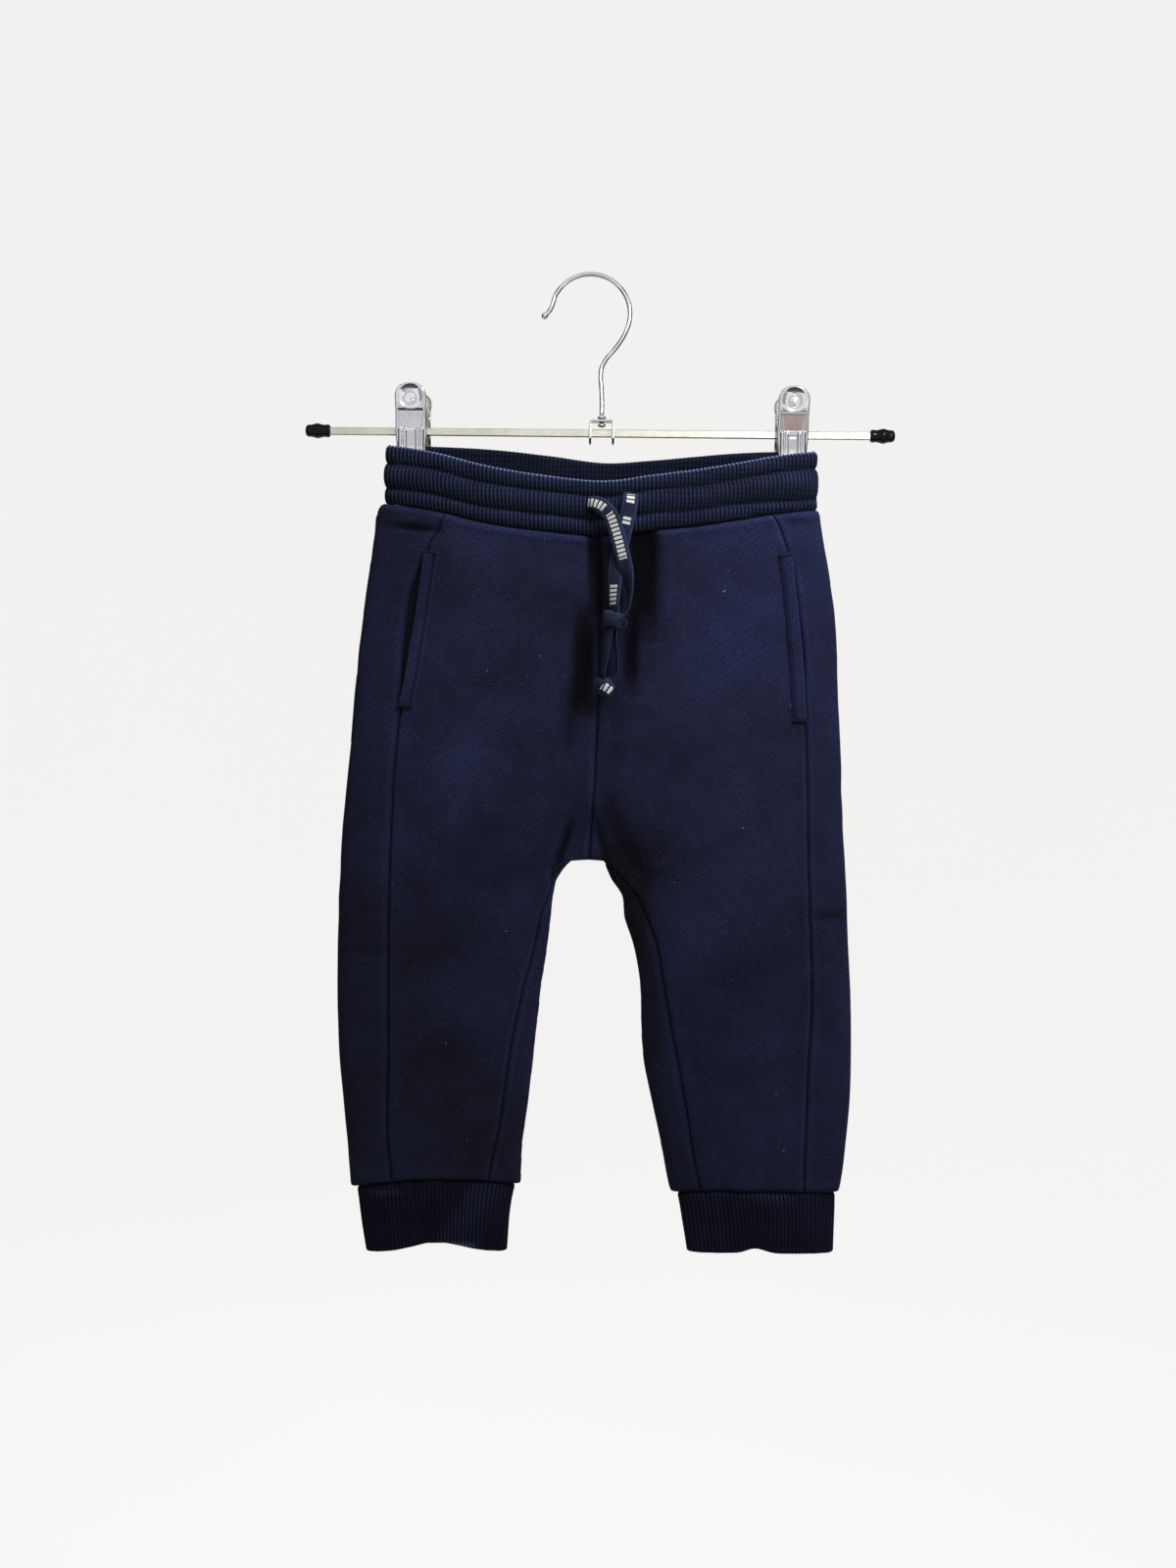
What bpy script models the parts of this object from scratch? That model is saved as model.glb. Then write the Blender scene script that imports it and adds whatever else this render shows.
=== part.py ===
"""Toddler's fleece jogger sweatpants, hung flat from a metal two-clip hanger.

The hook's crown rests at the origin, the front faces -Y and +Z is up. Sizes are in millimetres until
world() turns them to metres. x runs from the bar's middle to the right as seen from the front, and
drop runs down from the bar's centre line. Left and right are as seen from the front.
"""

import math
from collections import namedtuple

import bmesh
import bpy
import numpy as np

MM = 0.001
GAP = 0.3  # between neighbouring pieces
EDGE_GAP = 0.6  # where a finely ribbed edge meets a panel

# ---- where things hang ----
BAR_BELOW_HOOK = 85.0
BAR_MIDDLE_X = 6.6

# ---- cloth ----
FLEECE = 2.0  # wall of the body and legs
RIB_WALL = 2.9  # waistband, folded rib with elastic in it
CUFF_WALL = 2.2
BAND_HEIGHT = 31.5
EDGE_TUCK = 0.7  # how far a sewn edge turns in
EDGE_ROLL = 1.4  # over what width it does so
RING_SAMPLES = 160

Fold = namedtuple("Fold", "drop left right")
# The outer folds of body and legs.
SIDE_FOLDS = [
    Fold(39, -117.6, 116.8),
    Fold(43, -119.7, 117.9),
    Fold(56, -121.8, 120.2),
    Fold(74, -124.2, 123.6),
    Fold(95, -127.2, 126.8),
    Fold(127, -130.6, 128.7),
    Fold(170, -133.9, 130.8),
    Fold(212, -137.8, 132.6),
    Fold(242, -139.1, 134.6),
    Fold(276, -139.9, 136.0),
    Fold(318, -139.4, 137.9),
    Fold(340, -138.1, 138.1),
    Fold(361, -136.3, 137.6),
    Fold(382, -134.0, 136.0),
    Fold(410, -131.4, 132.4),
]
# The folds between the legs, from the crotch down.
INNER_FOLDS = [
    Fold(231, -13.6, 3.0),
    Fold(236, -18.3, 5.1),
    Fold(241, -21.5, 7.4),
    Fold(249, -23.5, 12.8),
    Fold(262, -25.0, 14.6),
    Fold(275, -26.5, 19.2),
    Fold(296, -29.5, 23.7),
    Fold(318, -31.9, 24.6),
    Fold(339, -33.8, 25.8),
    Fold(360, -36.3, 30.2),
    Fold(381, -39.3, 35.2),
    Fold(410, -40.3, 41.2),
]

Depth = namedtuple("Depth", "drop middle front back front_power back_power")
# How deep the hung tube is before and behind its middle plane, and how blunt its section is.
DEPTHS = [
    Depth(8, -3.2, 8.4, 4.7, 3.2, 6.0),
    Depth(42, -3.2, 9.2, 5.2, 2.8, 5.0),
    Depth(60, -3.0, 9.6, 6.6, 2.4, 4.0),
    Depth(100, -2.6, 9.6, 8.4, 2.4, 3.0),
    Depth(150, -2.1, 9.6, 9.4, 2.4, 2.5),
    Depth(200, -1.6, 9.6, 9.4, 2.3, 2.3),
    Depth(232, -1.2, 9.8, 9.4, 2.2, 2.2),
    Depth(262, -0.9, 10.6, 10.0, 2.2, 2.2),
    Depth(300, -0.4, 11.4, 10.8, 2.2, 2.2),
    Depth(345, 0.0, 11.4, 10.8, 2.2, 2.2),
    Depth(385, 0.0, 10.4, 10.2, 2.2, 2.2),
    Depth(410, 0.0, 9.4, 9.4, 2.2, 2.2),
    Depth(442, 0.0, 8.8, 8.8, 2.2, 2.2),
]

Droop = namedtuple("Droop", "x front back")
# Drop of the waistband's top edge: the front layer hangs lower between the clips.
WAIST_TOP = [
    Droop(-118, 8.0, 8.0),
    Droop(-93, 11.8, 8.1),
    Droop(-60, 19.3, 9.3),
    Droop(-28, 23.4, 12.4),
    Droop(3, 25.5, 16.0),
    Droop(27, 22.4, 14.4),
    Droop(52, 19.5, 12.0),
    Droop(73, 16.3, 10.1),
    Droop(93, 12.7, 9.1),
    Droop(118, 9.2, 9.2),
]
DROOP_FADES_BY = 150.0  # the rows below this drop are level
SEAM_AT_SIDE = 40.2

Seam = namedtuple("Seam", "drop left right")
SIDE_SEAM_FRONT = [
    Seam(40, -80.5, 88.5),
    Seam(51, -86.0, 95.8),
    Seam(61, -91.6, 99.8),
    Seam(70, -94.9, 102.9),
    Seam(83, -100.6, 105.6),
    Seam(101, -104.3, 108.5),
    Seam(124, -106.2, 110.9),
    Seam(152, -107.1, 111.6),
    Seam(186, -110.2, 112.8),
    Seam(215, -111.4, 113.4),
    Seam(268, -111.8, 114.9),
    Seam(301, -111.6, 115.7),
    Seam(340, -111.4, 114.4),
    Seam(375, -111.6, 113.3),
    Seam(410, -108.6, 112.6),
]
SIDE_SEAM_BACK = [
    Seam(40, -82.0, 82.0),
    Seam(101, -101.0, 99.0),
    Seam(186, -108.0, 104.0),
    Seam(268, -110.0, 108.0),
    Seam(340, -109.0, 108.0),
    Seam(410, -104.0, 104.0),
]
INNER_SEAM_FRONT = [
    Seam(231, -13.6, 3.4),
    Seam(238, -22.1, 10.4),
    Seam(247, -24.9, 18.6),
    Seam(260, -29.7, 25.6),
    Seam(275, -32.6, 31.4),
    Seam(300, -38.9, 36.2),
    Seam(329, -44.5, 41.6),
    Seam(350, -47.7, 45.7),
    Seam(373, -51.1, 49.8),
    Seam(390, -54.7, 52.8),
    Seam(410, -58.0, 57.0),
]
Line = namedtuple("Line", "drop x")
CENTRE_SEAM = [Line(40, -1.0), Line(136, -0.3), Line(160, -1.0), Line(200, -2.7), Line(222, -4.0), Line(231, -4.6)]
POCKET_MOUTH = [
    Seam(65, -93.2, 100.9),
    Seam(101, -97.9, 105.8),
    Seam(131, -102.8, 108.6),
    Seam(154, -106.9, 110.2),
]
WELT_WIDTH = 7.0
WELT_RAISE = 1.1
WELT_CLEAR = 0.5
WELT_SPAN = {"left": (65.5, 150.0), "right": (64.5, 156.0)}
# The facing lies behind the mouth, between the front and the side panel.
FACING_SPAN = {"left": (70.0, 147.0), "right": (70.0, 147.0)}
FACING_THICK = 1.2
FACING_MARGIN = 2.6

# Rows of the body and legs. across_in is the row's drop at its inner end, where that differs.
Row = namedtuple("Row", "drop across_in end closing")
CROTCH_DROP = 230.7
BODY_ROWS = (
    [Row(drop, drop, "centre", 0.0) for drop in (SEAM_AT_SIDE + EDGE_GAP, 42.6, 56, 74, 98, 130)]
    + [Row(168, 168, "centre", 0.15), Row(200, 200, "centre", 0.45), Row(221, 220, "centre", 0.8)]
    + [Row(232, CROTCH_DROP, "centre", 1.0), Row(236.5, 231.0, "arch", 1.0)]
    + [Row(241, 236, "leg", 1.0), Row(246, 241, "leg", 1.0)]
    + [Row(drop, drop, "leg", 1.0) for drop in (254, 278, 305, 335, 365, 391)]
)
Hem = namedtuple("Hem", "middle outer_dip inner_dip")
HEMS = {"left": Hem(404.2, 4.0, 2.4), "right": Hem(407.4, 1.4, 2.2)}
HEM_ROLL = 1.5

# ---- ribbed pieces ----
BandRow = namedtuple("BandRow", "share bulge relief")
BAND_ROWS = [
    BandRow(0.00, -1.1, 0.0),
    BandRow(0.12, 0.5, 0.32),
    BandRow(0.30, -0.5, 0.28),
    BandRow(0.51, 1.6, 0.36),
    BandRow(0.72, -0.4, 0.28),
    BandRow(0.87, 0.8, 0.32),
    BandRow(1.00, -0.6, 0.0),
]
BAND_HALF_WIDTH = 115.7
WAIST_RIBS = 220
CUFF_RIBS = 82
COLUMNS_PER_LINING = 5  # a plain inner column for this many outer ones
CUFF_COLUMNS_PER_LINING = 4
CuffRow = namedtuple("CuffRow", "share left_out left_in right_in right_out bulge relief")
CUFF_ROWS = [
    CuffRow(0.0, -128.4, -42.6, 44.9, 130.2, -0.6, 0.0),
    CuffRow(0.08, -127.8, -43.4, 45.6, 130.2, 0.2, 0.32),
    CuffRow(0.93, -123.6, -47.0, 50.0, 129.4, 0.2, 0.32),
    CuffRow(1.0, -123.3, -47.1, 50.2, 129.4, -0.5, 0.0),
]
CUFF_HEIGHT = {"left": 37.0, "right": 33.6}
Lift = namedtuple("Lift", "x height width")
CUFF_FRONT_LIFT = {"left": Lift(-84, 4.6, 17), "right": Lift(90, 2.6, 7)}

# ---- drawstring ----
TAPE_WIDTH = 7.2
TAPE_THICK = 1.0
# lean turns the tape about its own run: 0 shows its face to the front, 90 its edge.
TapePoint = namedtuple("TapePoint", "x y drop lean")
TAPE_LEFT = [
    TapePoint(-6.8, -15.2, 40.2, 0),
    TapePoint(-3.2, -16.2, 40.6, 0),
    TapePoint(0.6, -17.2, 42.4, 4),
    TapePoint(4.8, -17.6, 47.0, 8),
    TapePoint(7.6, -17.4, 54.2, 8),
    TapePoint(10.8, -17.6, 64.6, 6),
    TapePoint(13.8, -17.9, 74.1, 14),
    TapePoint(15.2, -18.2, 83.2, 42),
    TapePoint(14.6, -18.4, 91.6, 66),
    TapePoint(12.4, -18.0, 98.5, 70),
]
TAPE_RIGHT = [
    TapePoint(14.6, -15.0, 36.2, 0),
    TapePoint(14.2, -15.2, 40.2, 0),
    TapePoint(13.4, -15.4, 46.4, 0),
    TapePoint(11.6, -15.4, 55.0, 0),
    TapePoint(9.2, -15.2, 65.0, 0),
    TapePoint(7.4, -15.3, 76.0, 0),
    TapePoint(7.0, -15.6, 86.0, 8),
    TapePoint(6.9, -16.8, 97.2, 16),
]
END_LEFT = [
    TapePoint(4.8, -17.6, 107.6, 70),
    TapePoint(3.2, -17.6, 117.0, 78),
    TapePoint(1.6, -17.6, 124.5, 70),
    TapePoint(2.2, -17.4, 129.6, 50),
]
END_RIGHT = [
    TapePoint(9.8, -17.4, 108.8, 80),
    TapePoint(9.9, -17.4, 117.0, 82),
    TapePoint(9.6, -17.2, 124.5, 72),
    TapePoint(7.2, -17.0, 129.7, 60),
]
Knot = namedtuple("Knot", "x y drop across deep tall lean")
KNOT = Knot(8.4, -17.6, 102.9, 13.0, 7.6, 10.4, 14)
END_KNOT = Knot(3.6, -17.2, 135.8, 8.4, 6.4, 12.6, 24)

# ---- hanger ----
WIRE = 2.5
HOOK_RADIUS = 21.4
HOOK_LEFT_OF_BAR_MIDDLE = 6.6
HOOK_TIP = [(-31.0, -63.8), (-28.3, -67.0), (-26.8, -71.0)]
HOOK_NECK = [(11.3, -52.6), (6.6, -45.6), (1.9, -40.0), (-0.4, -35.2), (-0.8, -31.0), (-0.3, -24.4), (0.0, -17.6), (0.0, -10.4)]
HOOK_ARC = (155.0, -25.0)  # degrees, from above the tip over the crown to the right side
TIP_BALL = 3.6
BAR_TALL = 4.1
BAR_THICK = 2.0
BAR_ENDS = (-146.6, 145.2)
CAP_LENGTH = 13.4
CapRow = namedtuple("CapRow", "share tall deep")
CAP_ROWS = [
    CapRow(0.0, 6.6, 4.4),
    CapRow(0.06, 7.2, 5.0),
    CapRow(0.32, 7.0, 5.2),
    CapRow(0.50, 8.2, 6.2),
    CapRow(0.68, 7.0, 5.2),
    CapRow(0.88, 6.4, 4.6),
    CapRow(0.97, 4.6, 3.2),
    CapRow(1.0, 2.0, 1.4),
]
STIRRUP_WIDTH = 13.6
STIRRUP_WIRE = 1.2
STIRRUP_DEEP = 5.0
STIRRUP_TOP = -7.2
STIRRUP_FOOT = 5.8
CLIP_X = {"left": -102.6, "right": 103.0}
JawRow = namedtuple("JawRow", "drop y half_width dome flute ear")
# Each jaw from its thumb plate down to the grip. The ears meet at the hinge above the bar, and rest on it.
FRONT_JAW = [
    JawRow(-26.6, -11.0, 3.4, 0.0, 0.0, 1.2),
    JawRow(-25.4, -11.6, 6.0, 0.1, 0.0, 1.3),
    JawRow(-23.0, -11.4, 7.8, 0.9, 0.0, 1.4),
    JawRow(-18.4, -10.2, 8.4, 2.0, 0.0, 1.8),
    JawRow(-13.6, -8.8, 8.3, 0.8, 0.0, 3.4),
    JawRow(-10.4, -8.0, 8.2, 0.0, 0.0, 7.2),
    JawRow(-9.6, -7.2, 8.2, 0.0, 0.0, 6.9),
    JawRow(-4.4, -5.7, 8.3, 0.0, 0.0, 5.4),
    JawRow(-2.4, -5.2, 8.3, 0.0, 0.2, 3.9),
    JawRow(-0.8, -4.9, 8.4, 0.0, 1.0, 3.6),
    JawRow(2.4, -4.8, 8.4, 0.0, 1.0, 3.4),
    JawRow(7.2, -4.6, 7.9, 0.0, 0.5, 1.3),
    JawRow(16.6, -4.5, 7.7, 0.0, 0.3, 1.2),
]
BACK_JAW = [
    JawRow(-24.4, 13.2, 4.0, 0.0, 0.0, 1.2),
    JawRow(-22.6, 13.4, 7.0, 0.0, 0.0, 1.4),
    JawRow(-17.0, 11.8, 8.2, 0.0, 0.0, 3.0),
    JawRow(-10.4, 9.0, 8.2, 0.0, 0.0, 8.6),
    JawRow(-4.4, 6.7, 8.3, 0.0, 0.0, 6.7),
    JawRow(-2.4, 6.0, 8.3, 0.0, 0.0, 4.7),
    JawRow(2.4, 5.0, 8.4, 0.0, 0.0, 3.6),
    JawRow(7.2, 4.8, 8.4, 0.0, 0.0, 1.2),
    JawRow(16.6, 4.7, 8.4, 0.0, 0.0, 1.2),
]
JAW_THICK = 0.9
# A jaw's columns: how far across, how far down the ear, and the height of its flutes.
JawColumn = namedtuple("JawColumn", "across turned flute")
FRONT_COLUMNS = (
    [JawColumn(-1.0, 1.0, 0.0), JawColumn(-1.0, 0.12, 0.0), JawColumn(-0.9, 0.0, 0.0), JawColumn(-0.72, 0.0, 1.0)]
    + [JawColumn(-0.55, 0.0, 0.0), JawColumn(-0.38, 0.0, 1.0), JawColumn(-0.2, 0.0, -0.4), JawColumn(0.2, 0.0, -0.4)]
    + [JawColumn(0.38, 0.0, 1.0), JawColumn(0.55, 0.0, 0.0), JawColumn(0.72, 0.0, 1.0), JawColumn(0.9, 0.0, 0.0)]
    + [JawColumn(1.0, 0.12, 0.0), JawColumn(1.0, 1.0, 0.0)]
)
BACK_COLUMNS = [JawColumn(*c, 0.0) for c in ((-1, 1), (-1, 0.1), (-0.88, 0), (0.88, 0), (1, 0.1), (1, 1))]

# ---- colours ----
NAVY = (0.012, 0.014, 0.034)
NAVY_RIB = (0.010, 0.012, 0.026)
TAPE_NAVY = (0.020, 0.026, 0.048)
STEEL = (0.62, 0.62, 0.62)
NICKEL = (0.50, 0.49, 0.45)
BLACK = (0.006, 0.006, 0.007)

SIDES = {"left": -1.0, "right": 1.0}


# ---- small helpers ----
def world(x, y, drop):
    """Metres in the part's frame, from garment millimetres."""
    return ((BAR_MIDDLE_X + x) * MM, y * MM, (-BAR_BELOW_HOOK - drop) * MM)


def smooth(table, key, value, at):
    """A table's column read at a place by a smooth curve through its rows."""
    keys = [getattr(row, key) for row in table]
    values = [getattr(row, value) for row in table]
    slopes = np.gradient(values, keys)
    at = np.clip(at, keys[0], keys[-1])
    i = np.clip(np.searchsorted(keys, at) - 1, 0, len(keys) - 2)
    keys, values = np.array(keys, float), np.array(values, float)
    step = keys[i + 1] - keys[i]
    t = (at - keys[i]) / step
    return (
        (2 * t**3 - 3 * t**2 + 1) * values[i]
        + (t**3 - 2 * t**2 + t) * step * slopes[i]
        + (3 * t**2 - 2 * t**3) * values[i + 1]
        + (t**3 - t**2) * step * slopes[i + 1]
    )


def ease(t):
    """0 to 1 with level ends."""
    t = np.clip(t, 0.0, 1.0)
    return t * t * (3 - 2 * t)


def material(name, colour, roughness, metallic=0.0):
    """A plain Principled material."""
    made = bpy.data.materials.new(name)
    made.use_nodes = True
    shader = made.node_tree.nodes["Principled BSDF"]
    shader.inputs["Base Color"].default_value = (*colour, 1.0)
    shader.inputs["Roughness"].default_value = roughness
    shader.inputs["Metallic"].default_value = metallic
    made.diffuse_color = (*colour, 1.0)
    return made


def solid(name, points, faces, finish):
    """An object from points in garment millimetres, with its faces turned out."""
    mesh = bpy.data.meshes.new(name)
    mesh.from_pydata([world(*p) for p in points], [], faces)
    mesh.materials.append(finish)
    made = bpy.data.objects.new(name, mesh)
    bpy.context.scene.collection.objects.link(made)
    turn_out(mesh)
    mesh.shade_smooth()
    mesh.set_sharp_from_angle(angle=math.radians(34))
    return made


def turn_out(mesh):
    """Every face of the closed mesh is turned to face out."""
    work = bmesh.new()
    work.from_mesh(mesh)
    bmesh.ops.recalc_face_normals(work, faces=work.faces)
    work.to_mesh(mesh)
    work.free()


def sheet_solid(name, outer, inner, finish):
    """A wall between two grids of points with the same rows and columns."""
    rows, columns = len(outer), len(outer[0])
    points = [p for row in outer for p in row] + [p for row in inner for p in row]
    half = rows * columns

    def quad(a, b, c, d):
        return (a, b, c, d)

    faces = []
    for r in range(rows - 1):
        for c in range(columns - 1):
            a = r * columns + c
            faces.append(quad(a, a + 1, a + columns + 1, a + columns))
            a += half
            faces.append(quad(a, a + columns, a + columns + 1, a + 1))
    for c in range(columns - 1):
        faces.append(quad(c, c + half, c + half + 1, c + 1))
        a = (rows - 1) * columns + c
        faces.append(quad(a, a + 1, a + half + 1, a + half))
    for r in range(rows - 1):
        a = r * columns
        faces.append(quad(a, a + columns, a + columns + half, a + half))
        a += columns - 1
        faces.append(quad(a, a + half, a + columns + half, a + columns))
    return solid(name, points, faces, finish)


def ring_solid(name, outer_rows, inner_rows, finish):
    """A tube wall: outer rings of many columns, and plain inner rings of fewer."""
    points, rings = [], []
    for ring in outer_rows + inner_rows[::-1]:
        rings.append(range(len(points), len(points) + len(ring)))
        points += ring
    faces = []
    for upper, lower in zip(rings, rings[1:] + rings[:1]):
        faces += between(upper, lower)
    return solid(name, points, faces, finish)


def between(upper, lower):
    """Faces between two closed loops, where one may have a whole number of times the other's points."""
    if len(upper) < len(lower):
        return [face[::-1] for face in between(lower, upper)]
    times = len(upper) // len(lower)
    many, few, faces = len(upper), len(lower), []
    for j in range(few):
        for i in range(times):
            a, b = upper[(j * times + i) % many], upper[(j * times + i + 1) % many]
            if i == times // 2:
                faces.append((a, b, lower[(j + 1) % few], lower[j]))
            else:
                faces.append((a, b, lower[(j + (i > times // 2)) % few]))
    return faces


# ---- the hung tube ----
def depth_at(drop):
    """The tube's depth settings at a drop."""
    return {key: smooth(DEPTHS, "drop", key, drop) for key in Depth._fields[1:]}


def rounding(share, reach, power):
    """How full the section is at a share of the way from a fold, 0 at the fold and 1 from reach on."""
    return (1 - (1 - np.minimum(share / reach, 1.0)) ** power) ** (1 / power)


def seam_drop(x, front):
    """The drop of the waistband's lower edge."""
    return smooth(WAIST_TOP, "x", "front" if front else "back", x) + BAND_HEIGHT


class Section:
    """One row of half the garment, as a line from its inner end at the front, round the outer fold, to
    its inner end at the back, with the wall's outer and inner points side by side."""

    def __init__(self, side, row, wall=FLEECE):
        self.side, self.row = side, row
        turn = np.linspace(0, math.pi, RING_SAMPLES + 1)
        share = 0.5 * (1 + np.cos(turn))  # 1 at the inner end, 0 at the outer fold
        self.share = np.concatenate([share, share[::-1][1:]])
        self.front = np.arange(len(self.share)) <= RING_SAMPLES
        self.outer = self.line(0.0)
        self.inner = self.line(wall)
        steps = np.linalg.norm(np.diff(self.outer, axis=0), axis=1)
        self.along = np.concatenate([[0.0], np.cumsum(steps)])

    def inner_end(self):
        """x where the row ends inside: the centre seam, the crotch arch or the leg's inner fold."""
        sign = SIDES[self.side]
        if self.row.end == "centre":
            return smooth(CENTRE_SEAM, "drop", "x", self.row.across_in) + sign * GAP / 2
        return smooth(INNER_FOLDS, "drop", self.side, self.row.across_in)

    def line(self, wall):
        """The row's points, moved in from the outside by wall."""
        sign = SIDES[self.side]
        row, depth = self.row, depth_at(self.row.drop)
        x_out = smooth(SIDE_FOLDS, "drop", self.side, row.drop) - sign * wall
        x_in = self.inner_end() + (sign * wall if row.end == "leg" else 0.0)
        x = x_out + (x_in - x_out) * self.share
        reach = 1.0 - 0.5 * row.closing
        least = FLEECE + GAP / 2 - wall if row.end != "leg" else 0.0
        y = np.zeros(len(x))
        for front, key, sign_y in ((True, "front", -1.0), (False, "back", 1.0)):
            power = depth[key + "_power"]
            full = rounding(self.share, reach, power)
            full *= 1 - row.closing + row.closing * rounding(1 - self.share, 0.5, power)
            half = (depth[key] - wall) * full
            if least:
                half = np.maximum(half, least * ease(self.share / 0.3))
            y = np.where(self.front == front, depth["middle"] + sign_y * half, y)
        return np.stack([x, y, self.drops(x)], axis=1)

    def drops(self, x):
        """The drop along the row: its own, the waist's droop, and the hem's dips."""
        row = self.row
        drop = row.drop + (row.across_in - row.drop) * ease(self.share)
        fade = 1 - ease((row.drop - SEAM_AT_SIDE) / (DROOP_FADES_BY - SEAM_AT_SIDE))
        droop = np.where(self.front, seam_drop(x, True), seam_drop(x, False)) - SEAM_AT_SIDE
        drop = drop + fade * droop
        hem = HEMS[self.side]
        near_hem = ease((row.drop - 350) / 50)
        dip = hem.outer_dip * np.clip(1 - self.share / 0.3, 0, 1) ** 2
        dip += hem.inner_dip * np.clip((self.share - 0.8) / 0.2, 0, 1) ** 2
        return drop + near_hem * dip

    def place_of(self, seam, front=True):
        """How far along the row a seam crosses its front or its back."""
        off = self.outer[:, 0] - smooth(seam, "drop", self.side, self.outer[:, 2])
        pick = np.flatnonzero(self.front if front else ~self.front)
        change = [i for i in pick[:-1] if off[i] * off[i + 1] <= 0]
        if not change:
            return None
        i = change[0] if front else change[-1]
        t = off[i] / (off[i] - off[i + 1]) if off[i] != off[i + 1] else 0.0
        return self.along[i] + t * (self.along[i + 1] - self.along[i])

    @property
    def fold(self):
        """How far along the row the outer fold is."""
        return self.along[RING_SAMPLES]

    def points(self, places):
        """Outer and inner points at places along the row, which may run on past its end round the inner fold."""
        total = self.along[-1]
        places = [p - total if p > total else p for p in places]
        outer = np.stack([np.interp(places, self.along, self.outer[:, k]) for k in range(3)], axis=1)
        inner = np.stack([np.interp(places, self.along, self.inner[:, k]) for k in range(3)], axis=1)
        return outer, inner


def tucked(outer, inner, rows, columns):
    """The outer points with those of the given rows and columns turned in."""
    outer = outer.copy()
    for r in range(outer.shape[0]):
        for c in range(outer.shape[1]):
            if r in rows or c in columns:
                way = inner[r, c] - outer[r, c]
                outer[r, c] += way * EDGE_TUCK / max(np.linalg.norm(way), EDGE_TUCK)
    return outer


def panel(name, side, columns_of, finish):
    """A panel from its columns' places on each row of one half of the garment."""
    outer, inner = [], []
    for row in garment_rows(side):
        section = Section(side, row)
        o, i = section.points(columns_of(section))
        outer.append(o)
        inner.append(i)
    outer, inner = np.array(outer), np.array(inner)
    last_row, last_column = outer.shape[0] - 1, outer.shape[1] - 1
    outer = tucked(outer, inner, (0, last_row), (0, last_column))
    return sheet_solid(name, outer.tolist(), inner.tolist(), finish)


def garment_rows(side):
    """The body's rows and one leg's, down to its hem."""
    hem = HEMS[side].middle
    low = [Row(hem - HEM_ROLL, hem - HEM_ROLL, "leg", 1.0), Row(hem, hem, "leg", 1.0)]
    return [row for row in BODY_ROWS if row.drop < hem - 2 * HEM_ROLL] + low


def side_edge(section):
    """Where the front panel's outer edge is: the pocket's mouth, or the side seam."""
    seam = section.place_of(SIDE_SEAM_FRONT)
    low, high = POCKET_MOUTH[0].drop, POCKET_MOUTH[-1].drop
    mouth = section.place_of(POCKET_MOUTH)
    if mouth is None:
        return seam
    drop = np.interp(mouth, section.along, section.outer[:, 2])
    return min(seam, mouth) if low < drop < high else seam


def inner_edge(section):
    """Where the front panel's inner edge is: the row's end, or the inner-leg seam."""
    if section.row.end != "leg":
        return 0.0
    return section.place_of(INNER_SEAM_FRONT) or 0.0


def front_columns(section):
    """From the centre or the inner-leg seam to the side seam, across the front."""
    start, end = inner_edge(section), side_edge(section) - GAP / 2
    if section.row.end == "leg":
        start += GAP / 2
    middle = np.linspace(start + EDGE_ROLL, end - EDGE_ROLL, 5)
    return [start, *middle, end]


def side_columns(section):
    """Round the outer fold, from the front side seam to the back one."""
    start = section.place_of(SIDE_SEAM_FRONT) + GAP / 2
    end = section.place_of(SIDE_SEAM_BACK, False) - GAP / 2
    fold = section.fold
    return [start, start + EDGE_ROLL, fold - 7.5, fold - 2, fold + 2, fold + 7.5, end - EDGE_ROLL, end]


def back_columns(section):
    """From the back side seam across the back, and below the crotch on round the inner fold."""
    start = section.place_of(SIDE_SEAM_BACK, False) + GAP / 2
    total = section.along[-1]
    wrap = inner_edge(section) - GAP / 2 if section.row.end == "leg" else 0.0
    end = total + wrap
    turn = max(wrap, 6.0)
    near = [end - turn - 9, end - turn - 2, end - 0.6 * turn, end - EDGE_ROLL * 0.8, end]
    middle = np.linspace(start + EDGE_ROLL, near[0], 4)[:-1]
    return [start, *middle, *near]


def pocket(side, finish, dark):
    """The welt on the front panel along the pocket's mouth, and the facing that shows in the mouth."""
    low, high = WELT_SPAN[side]
    outer, inner = [], []
    for drop in np.linspace(low, high, 8):
        section = section_through(side, drop)
        mouth = section.place_of(POCKET_MOUTH)
        places = [mouth - share * WELT_WIDTH - GAP for share in (0.0, 0.12, 0.88, 1.0)]
        skin, wall = section.points(places)
        out = (skin - wall) / np.linalg.norm(skin - wall, axis=1)[:, None]
        raise_by = np.array([WELT_RAISE * 0.45, WELT_RAISE, WELT_RAISE, WELT_RAISE * 0.45])
        inner.append(skin + out * WELT_CLEAR)
        outer.append(skin + out * (WELT_CLEAR + raise_by[:, None]))
    sheet_solid(f"pocket_welt_{side}", np.array(outer).tolist(), np.array(inner).tolist(), finish)
    low, high = FACING_SPAN[side]
    outer, inner = [], []
    for drop in np.linspace(low, high, 6):
        section = section_through(side, drop)
        start, end = section.place_of(POCKET_MOUTH) - FACING_MARGIN, section.place_of(SIDE_SEAM_FRONT) + FACING_MARGIN
        places = np.linspace(start, end, 4)
        skin, wall = section.points(places)
        way = (wall - skin) / np.linalg.norm(skin - wall, axis=1)[:, None]
        outer.append(skin + way * (FLEECE + 0.4))
        inner.append(skin + way * (FLEECE + 0.4 + FACING_THICK))
    sheet_solid(f"pocket_facing_{side}", np.array(outer).tolist(), np.array(inner).tolist(), dark)


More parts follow.
